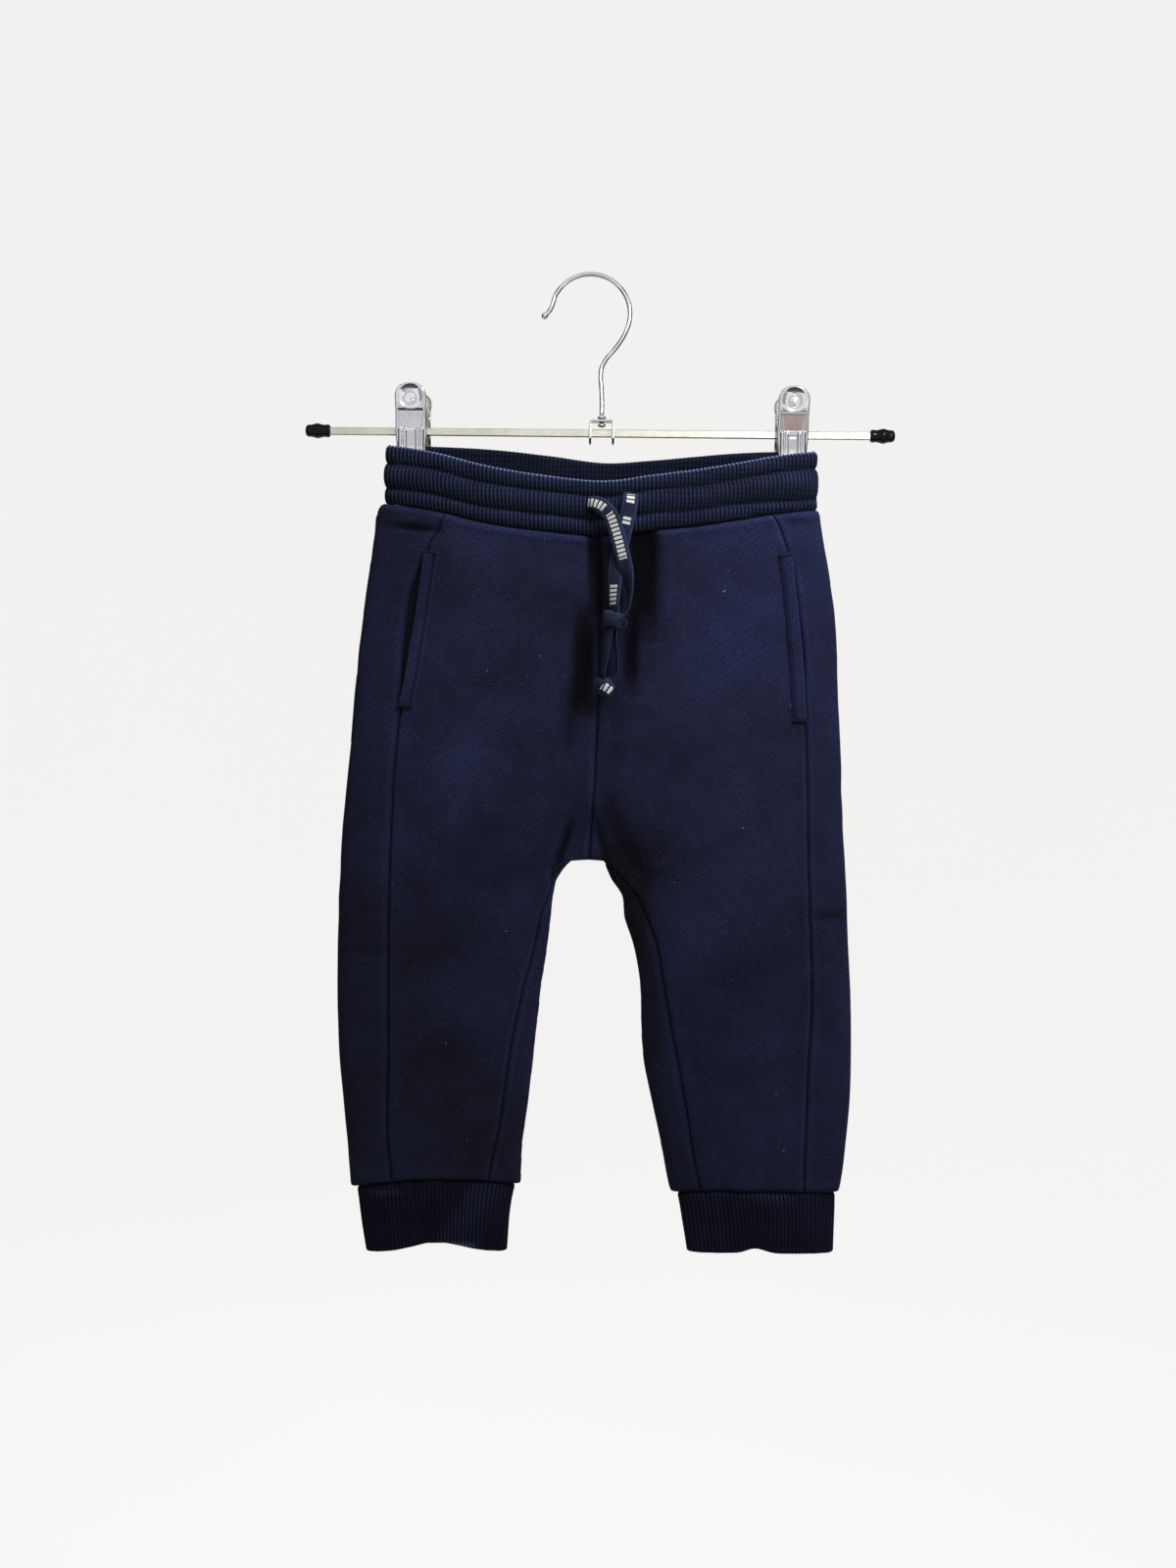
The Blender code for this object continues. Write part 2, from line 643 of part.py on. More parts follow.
def section_through(side, drop):
    """The row that crosses the pocket's mouth at a drop."""
    low, high = drop - 30, drop
    for _ in range(24):
        middle = 0.5 * (low + high)
        section = Section(side, Row(middle, middle, "centre", 0.0 if middle < 160 else 0.1))
        at = section.place_of(POCKET_MOUTH)
        found = np.interp(at, section.along, section.outer[:, 2]) if at is not None else middle + 20
        low, high = (middle, high) if found < drop else (low, middle)
    return section


# ---- ribbed rings ----
def ribbed(loop, relief):
    """A closed loop of points pushed out and in by turns, in its own level."""
    loop = np.array(loop)
    run = np.roll(loop, -1, axis=0) - np.roll(loop, 1, axis=0)
    out = np.stack([run[:, 1], -run[:, 0]], axis=1)
    out /= np.linalg.norm(out, axis=1)[:, None]
    centre = loop[:, :2].mean(axis=0)
    if ((loop[:, :2] - centre) * out).sum() < 0:
        out = -out
    loop[:, :2] += out * (relief * (-1.0) ** np.arange(len(loop)))[:, None]
    return loop


def oval(x_left, x_right, middle, front, back, front_power, back_power, grow):
    """A closed section of a hung tube, moved out by grow: its points, and whether each is on the front."""
    turn = np.linspace(0, 2 * math.pi, 4 * RING_SAMPLES, endpoint=False)
    on_front = turn < math.pi
    power = np.where(on_front, front_power, back_power)
    half = (x_right - x_left) / 2 + grow
    across = np.sign(np.cos(turn)) * (1 - np.abs(np.sin(turn)) ** 2) ** 0.5
    full = (1 - np.abs(across) ** power) ** (1 / power)
    y = middle - np.where(on_front, front + grow, -(back + grow)) * full
    return np.stack([(x_left + x_right) / 2 - half * across, y], axis=1), on_front


def even(loop, count):
    """Which places along a closed loop's points are evenly spaced, as fractions of its index."""
    closed = np.vstack([loop, loop[:1]])
    along = np.concatenate([[0.0], np.cumsum(np.linalg.norm(np.diff(closed, axis=0), axis=1))])
    return np.interp(np.linspace(0, along[-1], count, endpoint=False), along, np.arange(len(closed)))


def read(loop, index):
    """Points of a closed loop at fractional indices."""
    closed = np.vstack([loop, loop[:1]])
    return np.stack([np.interp(index, np.arange(len(closed)), closed[:, k]) for k in range(2)], axis=1)


def waistband(finish):
    """A rib-knit ring in three rolls between two stitched channels, its front layer drooping."""

    def ring(share, grow, index, relief):
        depth = depth_at(8 + share * BAND_HEIGHT)
        shape = [depth[key] for key in ("middle", "front", "back", "front_power", "back_power")]
        loop, _ = oval(-BAND_HALF_WIDTH, BAND_HALF_WIDTH, *shape, grow)
        flat = read(loop, index)
        front = index < len(loop) / 2
        top = np.where(front, smooth(WAIST_TOP, "x", "front", flat[:, 0]), smooth(WAIST_TOP, "x", "back", flat[:, 0]))
        drop = top + share * BAND_HEIGHT
        points = np.column_stack([flat, drop])
        return (ribbed(points, relief) if relief else points).tolist()

    depth = depth_at(8 + 0.5 * BAND_HEIGHT)
    shape = [depth[key] for key in ("middle", "front", "back", "front_power", "back_power")]
    middle, _ = oval(-BAND_HALF_WIDTH, BAND_HALF_WIDTH, *shape, 0.0)
    index = even(middle, 2 * WAIST_RIBS)
    plain = index[::COLUMNS_PER_LINING]
    outer = [ring(row.share, row.bulge, index, row.relief) for row in BAND_ROWS]
    inner = [ring(share, -RIB_WALL, plain, 0.0) for share in (0.03, 1.0)]
    ring_solid("waistband", outer, inner, finish)


def cuff(side, finish):
    """A rib-knit ring, tucked under the leg's hem and narrowing to its own."""
    hem, lift = HEMS[side], CUFF_FRONT_LIFT[side]

    def ring(row, grow, index, relief):
        depth = depth_at(410 + row.share * 30)
        ends = (row.left_out, row.left_in) if side == "left" else (row.right_in, row.right_out)
        loop, _ = oval(*ends, depth["middle"], depth["front"], depth["back"], 2.2, 2.2, row.bulge + grow - 0.4)
        flat = read(loop, index)
        front = index < len(loop) / 2
        share = np.abs(flat[:, 0] - ends[side == "right"]) / (ends[1] - ends[0])
        dip = hem.outer_dip * np.clip(1 - share / 0.3, 0, 1) ** 2 + hem.inner_dip * np.clip((share - 0.8) / 0.2, 0, 1) ** 2
        rise = np.where(front, lift.height * np.exp(-(((flat[:, 0] - lift.x) / lift.width) ** 2)), 0.0)
        top = hem.middle + EDGE_GAP + dip
        bottom = hem.middle + CUFF_HEIGHT[side] + 0.4 * dip - rise
        drop = top + (bottom - top) * row.share
        points = np.column_stack([flat, drop])
        return (ribbed(points, relief) if relief else points).tolist()

    row = CUFF_ROWS[1]
    ends = (row.left_out, row.left_in) if side == "left" else (row.right_in, row.right_out)
    middle, _ = oval(*ends, 0.0, 9.0, 9.0, 2.2, 2.2, 0.0)
    index = even(middle, 2 * CUFF_RIBS)
    plain = index[::CUFF_COLUMNS_PER_LINING]
    outer = [ring(r, 0.0, index, r.relief) for r in CUFF_ROWS]
    inner = [ring(r, -CUFF_WALL, plain, 0.0) for r in (CUFF_ROWS[0], CUFF_ROWS[-1])]
    ring_solid(f"cuff_{side}", outer, inner, finish)


# ---- drawstring ----
def tape(name, route, finish):
    """A flat tape along a route, turned about its run by each point's lean."""
    line = np.array([(p.x, p.y, p.drop) for p in route], float)
    run = np.gradient(line, axis=0)
    run /= np.linalg.norm(run, axis=1)[:, None]
    outer, inner = [], []
    for point, way, lean in zip(line, run, [math.radians(p.lean) for p in route]):
        flat = np.cross(way, (0.0, 1.0, 0.0))
        flat /= np.linalg.norm(flat)
        face = np.cross(flat, way)
        wide = flat * math.cos(lean) + face * math.sin(lean)
        thin = np.cross(wide, way)
        edges = [point + wide * TAPE_WIDTH * s for s in (-0.5, -0.25, 0.25, 0.5)]
        half = [TAPE_THICK * s for s in (0.3, 0.5, 0.5, 0.3)]
        outer.append([(e + thin * h).tolist() for e, h in zip(edges, half)])
        inner.append([(e - thin * h).tolist() for e, h in zip(edges, half)])
    return sheet_solid(name, outer, inner, finish)


def knot(name, size, finish, turns=12, levels=8):
    """A pulled-tight knot: a squashed ball with a waist where the tape wraps it."""
    lean = math.radians(size.lean)
    points = [(0.0, 0.0, -0.5)]
    for level in range(1, levels):
        angle = math.pi * level / levels
        for k in range(turns):
            turn = 2 * math.pi * k / turns
            wrap = 1 + 0.10 * math.cos(3 * turn + 2 * angle)
            wide = 0.5 * math.sin(angle) ** 0.75 * wrap
            points.append((wide * math.cos(turn), wide * math.sin(turn), -0.5 * math.cos(angle)))
    points.append((0.0, 0.0, 0.5))
    placed = []
    for across, deep, tall in points:
        a, t = across * size.across, tall * size.tall
        x = a * math.cos(lean) - t * math.sin(lean)
        drop = a * math.sin(lean) + t * math.cos(lean)
        placed.append((size.x + x, size.y + deep * size.deep, size.drop + drop))
    faces = []
    for k in range(turns):
        after = (k + 1) % turns
        faces.append((0, 1 + k, 1 + after))
        for level in range(levels - 2):
            a = 1 + level * turns
            faces.append((a + k, a + turns + k, a + turns + after, a + after))
        a = 1 + (levels - 2) * turns
        faces.append((a + k, len(points) - 1, a + after))
    return solid(name, placed, faces, finish)


# ---- hanger ----
def wire(name, line, diameter, finish, swell=None):
    """A round wire along points in garment millimetres, as a bevelled curve."""
    curve = bpy.data.curves.new(name, "CURVE")
    curve.dimensions = "3D"
    curve.bevel_depth = diameter / 2 * MM
    curve.bevel_resolution = 2
    curve.use_fill_caps = True
    spline = curve.splines.new("POLY")
    spline.points.add(len(line) - 1)
    for at, point in enumerate(line):
        spline.points[at].co = (*world(*point), 1.0)
        spline.points[at].radius = swell(at) if swell else 1.0
    curve.materials.append(finish)
    made = bpy.data.objects.new(name, curve)
    bpy.context.scene.collection.objects.link(made)
    return made


def hook_line():
    """The hook's middle line from its ball tip, over the crown, to the stem's foot."""
    crown = -BAR_BELOW_HOOK - WIRE / 2
    middle = (-HOOK_LEFT_OF_BAR_MIDDLE, crown + HOOK_RADIUS)
    start, end = HOOK_ARC
    arc = []
    for angle in np.radians(np.linspace(start, end, 15)):
        arc.append((middle[0] + HOOK_RADIUS * math.cos(angle), middle[1] - HOOK_RADIUS * math.sin(angle)))
    first = HOOK_TIP[0]
    before = [(first[0] - 1.6, first[1] + 1.6), (first[0] - 0.8, first[1] + 0.8)]
    return [(x, 0.0, drop) for x, drop in before + HOOK_TIP + arc + HOOK_NECK]


def hook(finish):
    """The wire hook, its tip swelling to a small ball."""
    ball = TIP_BALL / WIRE
    swells = {0: 0.5 * ball, 1: ball, 2: 0.9}
    wire("hook", hook_line(), WIRE, finish, lambda at: swells.get(at, 1.0))


def lathe(name, rows, centre, axis, finish, turns=12):
    """A solid turned about an axis, from rows of (place along it, half size, half size)."""
    points = []
    for along, first, second in rows:
        for k in range(turns):
            angle = 2 * math.pi * k / turns
            a, b = first * math.cos(angle), second * math.sin(angle)
            shift = (along, a, b) if axis == "x" else (a, b, along)
            points.append(tuple(c + s for c, s in zip(centre, shift)))
    faces = [tuple(range(turns))]
    for r in range(len(rows) - 1):
        for k in range(turns):
            after = (k + 1) % turns
            faces.append((r * turns + k, r * turns + after, (r + 1) * turns + after, (r + 1) * turns + k))
    last = (len(rows) - 1) * turns
    faces.append(tuple(range(last + turns - 1, last - 1, -1)))
    return solid(name, points, faces, finish)


def hook_rivet(finish):
    """The flared collar at the stem's foot and the rivet head under the stirrup."""
    top = HOOK_NECK[-1][1] + GAP
    rows = [
        (0.0, 1.3, 1.3),
        (0.9, 1.9, 1.9),
        (1.5, 2.3, 2.3),
        (2.2, 2.3, 2.3),
        (2.6, 1.2, 1.2),
        (5.0, 1.2, 1.2),
        (5.3, 2.1, 2.1),
        (6.2, 2.1, 2.1),
        (7.0, 1.0, 1.0),
    ]
    lathe("hook_rivet", rows, (0.0, 0.0, top), "drop", finish)


def stirrup(finish):
    """The flat strip that hangs the bar from the hook: a pierced bridge and two legs with feet."""
    half, thick, deep = STIRRUP_WIDTH / 2, STIRRUP_WIRE, STIRRUP_DEEP
    top, foot = STIRRUP_TOP, STIRRUP_FOOT
    for_bar = BAR_THICK / 2 + GAP
    made = frame_solid("stirrup", half, thick, deep, top, foot, finish)
    bore = block("stirrup_bore", (-1.6, 1.6), (-1.6, 1.6), (top - 3, top + 3), finish)
    slot = block("stirrup_slot", (-half - 2, half + 2), (-for_bar, for_bar), (-BAR_TALL / 2 - GAP, BAR_TALL / 2 + GAP), finish)
    for cutter in (bore, slot):
        cutter.hide_render = True
        cutter.hide_viewport = False
        cutter.display_type = "WIRE"
        cut = made.modifiers.new(cutter.name, "BOOLEAN")
        cut.operation = "DIFFERENCE"
        cut.object = cutter
    return made


def frame_solid(name, half, thick, deep, top, foot, finish):
    """An upside-down U of strip."""
    ring = [(-half, foot), (-half, top), (half, top), (half, foot), (half - thick, foot), (half - thick, top + thick), (-half + thick, top + thick), (-half + thick, foot)]
    points = [(x, -deep / 2, drop) for x, drop in ring] + [(x, deep / 2, drop) for x, drop in ring]
    n = len(ring)
    faces = [(0, 1, 6, 7), (1, 2, 5, 6), (2, 3, 4, 5)]
    faces += [tuple(i + n for i in face[::-1]) for face in faces]
    faces += [(i, i + n, (i + 1) % n + n, (i + 1) % n) for i in range(n)]
    return solid(name, points, faces, finish)


def block(name, xs, ys, drops, finish):
    """A plain box."""
    points = [(x, y, drop) for x in xs for y in ys for drop in drops]
    faces = [(0, 1, 3, 2), (4, 6, 7, 5), (0, 4, 5, 1), (2, 3, 7, 6), (0, 2, 6, 4), (1, 5, 7, 3)]
    return solid(name, points, faces, finish)


def bar(finish):
    """The flat bar, its long edges eased."""
    tall, thick, ease_by = BAR_TALL / 2, BAR_THICK / 2, 0.35
    ring = [(-tall, thick - ease_by), (-tall + ease_by, thick), (tall - ease_by, thick), (tall, thick - ease_by)]
    ring += [(drop, -y) for drop, y in ring[::-1]]
    points = [(x, y, drop) for x in BAR_ENDS for drop, y in ring]
    n = len(ring)
    faces = [tuple(range(n)), tuple(range(2 * n - 1, n - 1, -1))]
    faces += [(i, (i + 1) % n, (i + 1) % n + n, i + n) for i in range(n)]
    return solid("bar", points, faces, finish)


def end_cap(side, finish):
    """A moulded cap on the bar's end, with a bead round its middle."""
    sign = SIDES[side]
    start = BAR_ENDS[side == "right"] + sign * GAP
    rows = [(sign * row.share * CAP_LENGTH, row.deep / 2, row.tall / 2) for row in CAP_ROWS]
    lathe(f"end_cap_{side}", rows, (start, 0.0, 0.0), "x", finish, turns=12)


def jaw(name, rows, columns, x_middle, back, finish):
    """A pressed jaw: a plate with ears turned towards the other jaw, a dome for the thumb and flutes at the grip."""
    outer, inner = [], []
    for row in rows:
        skin, wall = [], []
        for column in columns:
            dome = row.dome * max(0.0, 1 - (column.across / 0.75) ** 2)
            x = column.across * row.half_width
            y = row.y - back * (dome + row.flute * column.flute - row.ear * column.turned)
            inside = x * (1 - JAW_THICK / row.half_width)
            skin.append((x_middle + x, y, row.drop))
            wall.append((x_middle + inside, y + back * JAW_THICK * (column.turned < 0.5), row.drop))
        outer.append(skin)
        inner.append(wall)
    return sheet_solid(name, outer, inner, finish)


def clip(side, finish):
    """A sprung clip on the bar: two jaws whose ears meet above it."""
    jaw(f"clip_{side}_front", FRONT_JAW, FRONT_COLUMNS, CLIP_X[side], 1.0, finish)
    jaw(f"clip_{side}_back", BACK_JAW, BACK_COLUMNS, CLIP_X[side], -1.0, finish)


def main():
    for old in list(bpy.data.objects):
        bpy.data.objects.remove(old)
    fleece = material("navy_fleece", NAVY, 0.95)
    rib = material("navy_rib", NAVY_RIB, 0.95)
    facing = material("navy_facing", NAVY_RIB, 0.95)
    ribbon = material("drawstring_tape", TAPE_NAVY, 0.85)
    steel = material("chromed_steel", STEEL, 0.12, 1.0)
    nickel = material("satin_nickel", NICKEL, 0.35, 1.0)
    black = material("black_cap", BLACK, 0.15)

    waistband(rib)
    for side in SIDES:
        panel(f"front_{side}", side, front_columns, fleece)
        panel(f"side_{side}", side, side_columns, fleece)
        panel(f"back_{side}", side, back_columns, fleece)
        pocket(side, fleece, facing)
        cuff(side, rib)
    tape("drawstring_left", TAPE_LEFT, ribbon)
    tape("drawstring_right", TAPE_RIGHT, ribbon)
    tape("drawstring_end_left", END_LEFT, ribbon)
    tape("drawstring_end_right", END_RIGHT, ribbon)
    knot("drawstring_knot", KNOT, ribbon)
    knot("drawstring_end_knot", END_KNOT, ribbon)

    hook(steel)
    hook_rivet(steel)
    stirrup(steel)
    bar(nickel)
    for side in SIDES:
        end_cap(side, black)
        clip(side, steel)


main()
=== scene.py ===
"""Looks of a toddler's navy fleece joggers, hung flat from a metal two-clip hanger.

The hook's crown rests at the origin, the front faces -Y and +Z is up. Sizes are garment millimetres
until world() turns them to metres: x runs right from the bar's middle as seen from the front, y runs
back, and drop runs down from the bar's centre line. Left and right are as seen from the front.
"""

import logging
import math
from dataclasses import dataclass, field
from enum import Enum
from typing import Any, Sequence

import bmesh
import bpy
import numpy as np
from mathutils import Matrix, Vector

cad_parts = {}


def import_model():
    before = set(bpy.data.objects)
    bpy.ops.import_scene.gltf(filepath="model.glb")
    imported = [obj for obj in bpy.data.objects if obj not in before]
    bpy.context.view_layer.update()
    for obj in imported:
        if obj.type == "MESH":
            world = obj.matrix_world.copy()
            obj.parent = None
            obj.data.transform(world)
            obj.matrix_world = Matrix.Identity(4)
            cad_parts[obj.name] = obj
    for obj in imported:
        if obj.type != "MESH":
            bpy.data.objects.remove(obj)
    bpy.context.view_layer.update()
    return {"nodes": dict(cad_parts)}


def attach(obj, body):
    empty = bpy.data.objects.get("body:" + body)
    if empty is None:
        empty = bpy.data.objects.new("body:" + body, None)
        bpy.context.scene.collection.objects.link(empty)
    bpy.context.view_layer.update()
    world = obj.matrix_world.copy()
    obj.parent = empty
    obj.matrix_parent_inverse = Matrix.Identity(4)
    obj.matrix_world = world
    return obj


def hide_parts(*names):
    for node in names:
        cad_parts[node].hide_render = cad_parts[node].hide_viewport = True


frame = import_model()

log = logging.getLogger("joggers")
Array = np.ndarray
Marks = dict[str, Array]  # a number at each of a mesh's points, under each mark's name
Place = Sequence[float]
Span = tuple[float, float]
Node = bpy.types.Node
Object = bpy.types.Object
Pieces = list[bpy.types.Object]
Material = bpy.types.Material
Tree = bpy.types.NodeTree
Socket = bpy.types.NodeSocket

MM = 0.001
BODY = "root"
BAR_BELOW_HOOK = 85.0
BAR_MIDDLE_X = 6.6


class Side(Enum):
    """A half of the garment, as seen from the front."""

    LEFT = "left"
    RIGHT = "right"

    @property
    def sign(self) -> float:
        """-1 for the left, 1 for the right."""
        return -1.0 if self is Side.LEFT else 1.0


# ---- numbers ----
def world(points: Any) -> Array:
    """Metres in the part's frame, from garment millimetres (x, y, drop)."""
    points = np.asarray(points, float)
    flat = points.reshape(-1, 3)
    made = np.stack([BAR_MIDDLE_X + flat[:, 0], flat[:, 1], -BAR_BELOW_HOOK - flat[:, 2]], axis=1)
    return (made * MM).reshape(points.shape)


def ease(t: Any) -> Array:
    """0 to 1 with level ends."""
    t = np.clip(t, 0.0, 1.0)
    return t * t * (3 - 2 * t)


def hill(value: Any, middle: Any, width: float) -> Array:
    """1 at a middle, fading smoothly to 0 on both sides within about twice a width."""
    return np.exp(-(((value - middle) / width) ** 2))


def unit(vectors: Array) -> Array:
    """Vectors of length 1, in the same directions."""
    return vectors / np.maximum(np.linalg.norm(vectors, axis=-1, keepdims=True), 1e-9)


def lengths(line: Array) -> Array:
    """How far along a line each of its points is."""
    return np.concatenate([[0.0], np.cumsum(np.linalg.norm(np.diff(line, axis=0), axis=1))])


def turns(count: int) -> Array:
    """Even angles all round."""
    return np.linspace(0, 2 * np.pi, count, endpoint=False)


@dataclass(frozen=True)
class Both:
    """A value for each half of the garment."""

    left: Any
    right: Any

    def on(self, side: Side) -> Any:
        """The half's own value."""
        return self.left if side is Side.LEFT else self.right


@dataclass(frozen=True)
class Curve:
    """A smooth line through a few (key, value) places."""

    places: tuple[tuple[float, ...], ...]
    column: int = 1

    def at(self, key: Any) -> Array:
        """The value at a key, held level past both ends."""
        rows = np.array(self.places, float)
        keys, values = rows[:, 0], rows[:, self.column]
        slopes = np.gradient(values, keys)
        key = np.clip(key, keys[0], keys[-1])
        i = np.clip(np.searchsorted(keys, key) - 1, 0, len(keys) - 2)
        step = keys[i + 1] - keys[i]
        t = (key - keys[i]) / step
        near = (2 * t**3 - 3 * t**2 + 1) * values[i] + (t**3 - 2 * t**2 + t) * step * slopes[i]
        return near + (3 * t**2 - 2 * t**3) * values[i + 1] + (t**3 - t**2) * step * slopes[i + 1]


@dataclass(frozen=True)
class Pair:
    """A line for each side, from rows of (drop, left, right)."""

    rows: tuple[tuple[float, float, float], ...]

    def at(self, side: Side, drop: Any) -> Array:
        """The side's x at a drop."""
        return Curve(self.rows, Both(1, 2).on(side)).at(drop)


class Ripple:
    """Smooth seeded unevenness over a plane, from -1 to 1."""

    def __init__(self, seed: int, size: float) -> None:
        """Draws the lattice.

        Args:
            seed: which unevenness.
            size: millimetres between its hills, about.
        """
        self.grid = np.random.default_rng(seed).uniform(-1, 1, (64, 64))
        self.size = size

    def at(self, a: Any, b: Any) -> Array:
        """The unevenness at places (a, b) in millimetres."""
        a, b = np.asarray(a) / self.size, np.asarray(b) / self.size
        i, j = np.floor(a).astype(int), np.floor(b).astype(int)
        s, t = ease(a - i), ease(b - j)
        i, j, k, m = i % 64, j % 64, (i + 1) % 64, (j + 1) % 64
        top = self.grid[i, j] * (1 - s) + self.grid[k, j] * s
        low = self.grid[i, m] * (1 - s) + self.grid[k, m] * s
        return top * (1 - t) + low * t


# ---- the hung cloth's measures: the solids' own, but for the left hem's dips ----
SIDE_FOLDS = Pair((
    (39, -117.6, 116.8), (43, -119.7, 117.9), (56, -121.8, 120.2), (74, -124.2, 123.6),
    (95, -127.2, 126.8), (127, -130.6, 128.7), (170, -133.9, 130.8), (212, -137.8, 132.6),
    (242, -139.1, 134.6), (276, -139.9, 136.0), (318, -139.4, 137.9), (340, -138.1, 138.1),
    (361, -136.3, 137.6), (382, -134.0, 136.0), (410, -131.4, 132.4),
))
INNER_FOLDS = Pair((
    (231, -13.6, 3.0), (236, -18.3, 5.1), (241, -21.5, 7.4), (249, -23.5, 12.8),
    (262, -25.0, 14.6), (275, -26.5, 19.2), (296, -29.5, 23.7), (318, -31.9, 24.6),
    (339, -33.8, 25.8), (360, -36.3, 30.2), (381, -39.3, 35.2), (410, -40.3, 41.2),
))
SIDE_SEAM_FRONT = Pair((
    (40, -80.5, 88.5), (51, -86.0, 95.8), (61, -91.6, 99.8), (70, -94.9, 102.9), (83, -100.6, 105.6),
    (101, -104.3, 108.5), (124, -106.2, 110.9), (152, -107.1, 111.6), (186, -110.2, 112.8),
    (215, -111.4, 113.4), (268, -111.8, 114.9), (301, -111.6, 115.7), (340, -111.4, 114.4),
    (375, -111.6, 113.3), (410, -108.6, 112.6),
))
SIDE_SEAM_BACK = Pair((
    (40, -82.0, 82.0), (101, -101.0, 99.0), (186, -108.0, 104.0), (268, -110.0, 108.0),
    (340, -109.0, 108.0), (410, -104.0, 104.0),
))
INNER_SEAM_FRONT = Pair((
    (231, -13.6, 3.4), (238, -22.1, 10.4), (247, -24.9, 18.6), (260, -29.7, 25.6),
    (275, -32.6, 31.4), (300, -38.9, 36.2), (329, -44.5, 41.6), (350, -47.7, 45.7),
    (373, -51.1, 49.8), (390, -54.7, 52.8), (410, -58.0, 57.0),
))
POCKET_MOUTH = Pair(((65, -93.2, 100.9), (101, -97.9, 105.8), (131, -102.8, 108.6), (154, -106.9, 110.2)))
CENTRE_SEAM = Curve(((40, -1.0), (136, -0.3), (160, -1.0), (200, -2.7), (222, -4.0), (231, -4.6)))
CROTCH = 231.0  # where the centre seam ends and the legs part
PARTING = 232.0  # drop, at the outer fold, of the level that meets the crotch
PARTED = 236.5  # and of the first level round one leg alone
# drop, middle, front, back, front_power, back_power
DEPTHS = (
    (8, -3.2, 8.4, 4.7, 3.2, 6.0), (42, -3.2, 9.2, 5.2, 2.8, 5.0), (60, -3.0, 9.6, 6.6, 2.4, 4.0),
    (100, -2.6, 9.6, 8.4, 2.4, 3.0), (150, -2.1, 9.6, 9.4, 2.4, 2.5), (200, -1.6, 9.6, 9.4, 2.3, 2.3),
    (232, -1.2, 9.8, 9.4, 2.2, 2.2), (262, -0.9, 10.6, 10.0, 2.2, 2.2), (300, -0.4, 11.4, 10.8, 2.2, 2.2),
    (345, 0.0, 11.4, 10.8, 2.2, 2.2), (385, 0.0, 10.4, 10.2, 2.2, 2.2), (410, 0.0, 9.4, 9.4, 2.2, 2.2),
    (442, 0.0, 8.8, 8.8, 2.2, 2.2),
)
# x, then the drop of the waistband's top edge on the front layer and on the back one
WAIST_TOP = (
    (-118, 8.0, 8.0), (-93, 11.8, 8.1), (-60, 19.3, 9.3), (-28, 23.4, 12.4), (3, 25.5, 16.0),
    (27, 22.4, 14.4), (52, 19.5, 12.0), (73, 16.3, 10.1), (93, 12.7, 9.1), (118, 9.2, 9.2),
)
BAND_HEIGHT = 31.5
SEAM_AT_SIDE = 40.2
DROOP_FADES_BY = 150.0
FLEECE = 2.0


@dataclass(frozen=True)
class Hem:
    """Where a leg ends in its cuff."""

    middle: float
    outer_dip: float
    inner_dip: float

    def dip(self, share: Any) -> Array:
        """How much lower the hem hangs at a share of the way from the outer fold to the inner one."""
        outer = self.outer_dip * np.clip(1 - share / 0.5, 0, 1) ** 1.6
        return outer + self.inner_dip * np.clip((share - 0.66) / 0.34, 0, 1) ** 1.8


HEMS = {Side.LEFT: Hem(402.6, 5.6, 3.4), Side.RIGHT: Hem(407.4, 1.4, 2.2)}


def depth(drop: Any) -> tuple[Array, ...]:
    """The tube's middle plane, its depths before and behind it, and how blunt it is, at a drop."""
    return tuple(Curve(DEPTHS, column).at(drop) for column in range(1, 6))


def waist_top(x: Any, front: Any) -> Array:
    """The drop of the waistband's top edge."""
    return np.where(front, Curve(WAIST_TOP, 1).at(x), Curve(WAIST_TOP, 2).at(x))


def rounding(share: Any, reach: Any, power: Any) -> Array:
    """How full the section is at a share of the way from a fold, 0 at the fold and 1 from reach on."""
    return (1 - (1 - np.minimum(share / reach, 1.0)) ** power) ** (1 / power)


@dataclass(frozen=True)
class Crease:
    """A soft trough along a short line on the cloth. A negative depth makes it a ridge."""

    start: Span
    end: Span
    depth: float
    width: float
    flat: float = 1.0  # above 1 for a level bed with steep banks

    def sink(self, x: Array, drop: Array) -> Array:
        """How far the crease sinks the cloth at each point."""
        (x0, d0), (x1, d1) = self.start, self.end
        across, down = x1 - x0, d1 - d0
        t = ((x - x0) * across + (drop - d0) * down) / (across**2 + down**2)
        near = np.clip(t, 0, 1)
        off = (x - x0 - near * across) ** 2 + (drop - d0 - near * down) ** 2
        taper = np.clip(np.sin(np.pi * np.clip(0.1 + 0.8 * t, 0, 1)), 0, 1)
        return self.depth * np.exp(-((off / self.width**2) ** self.flat)) * taper


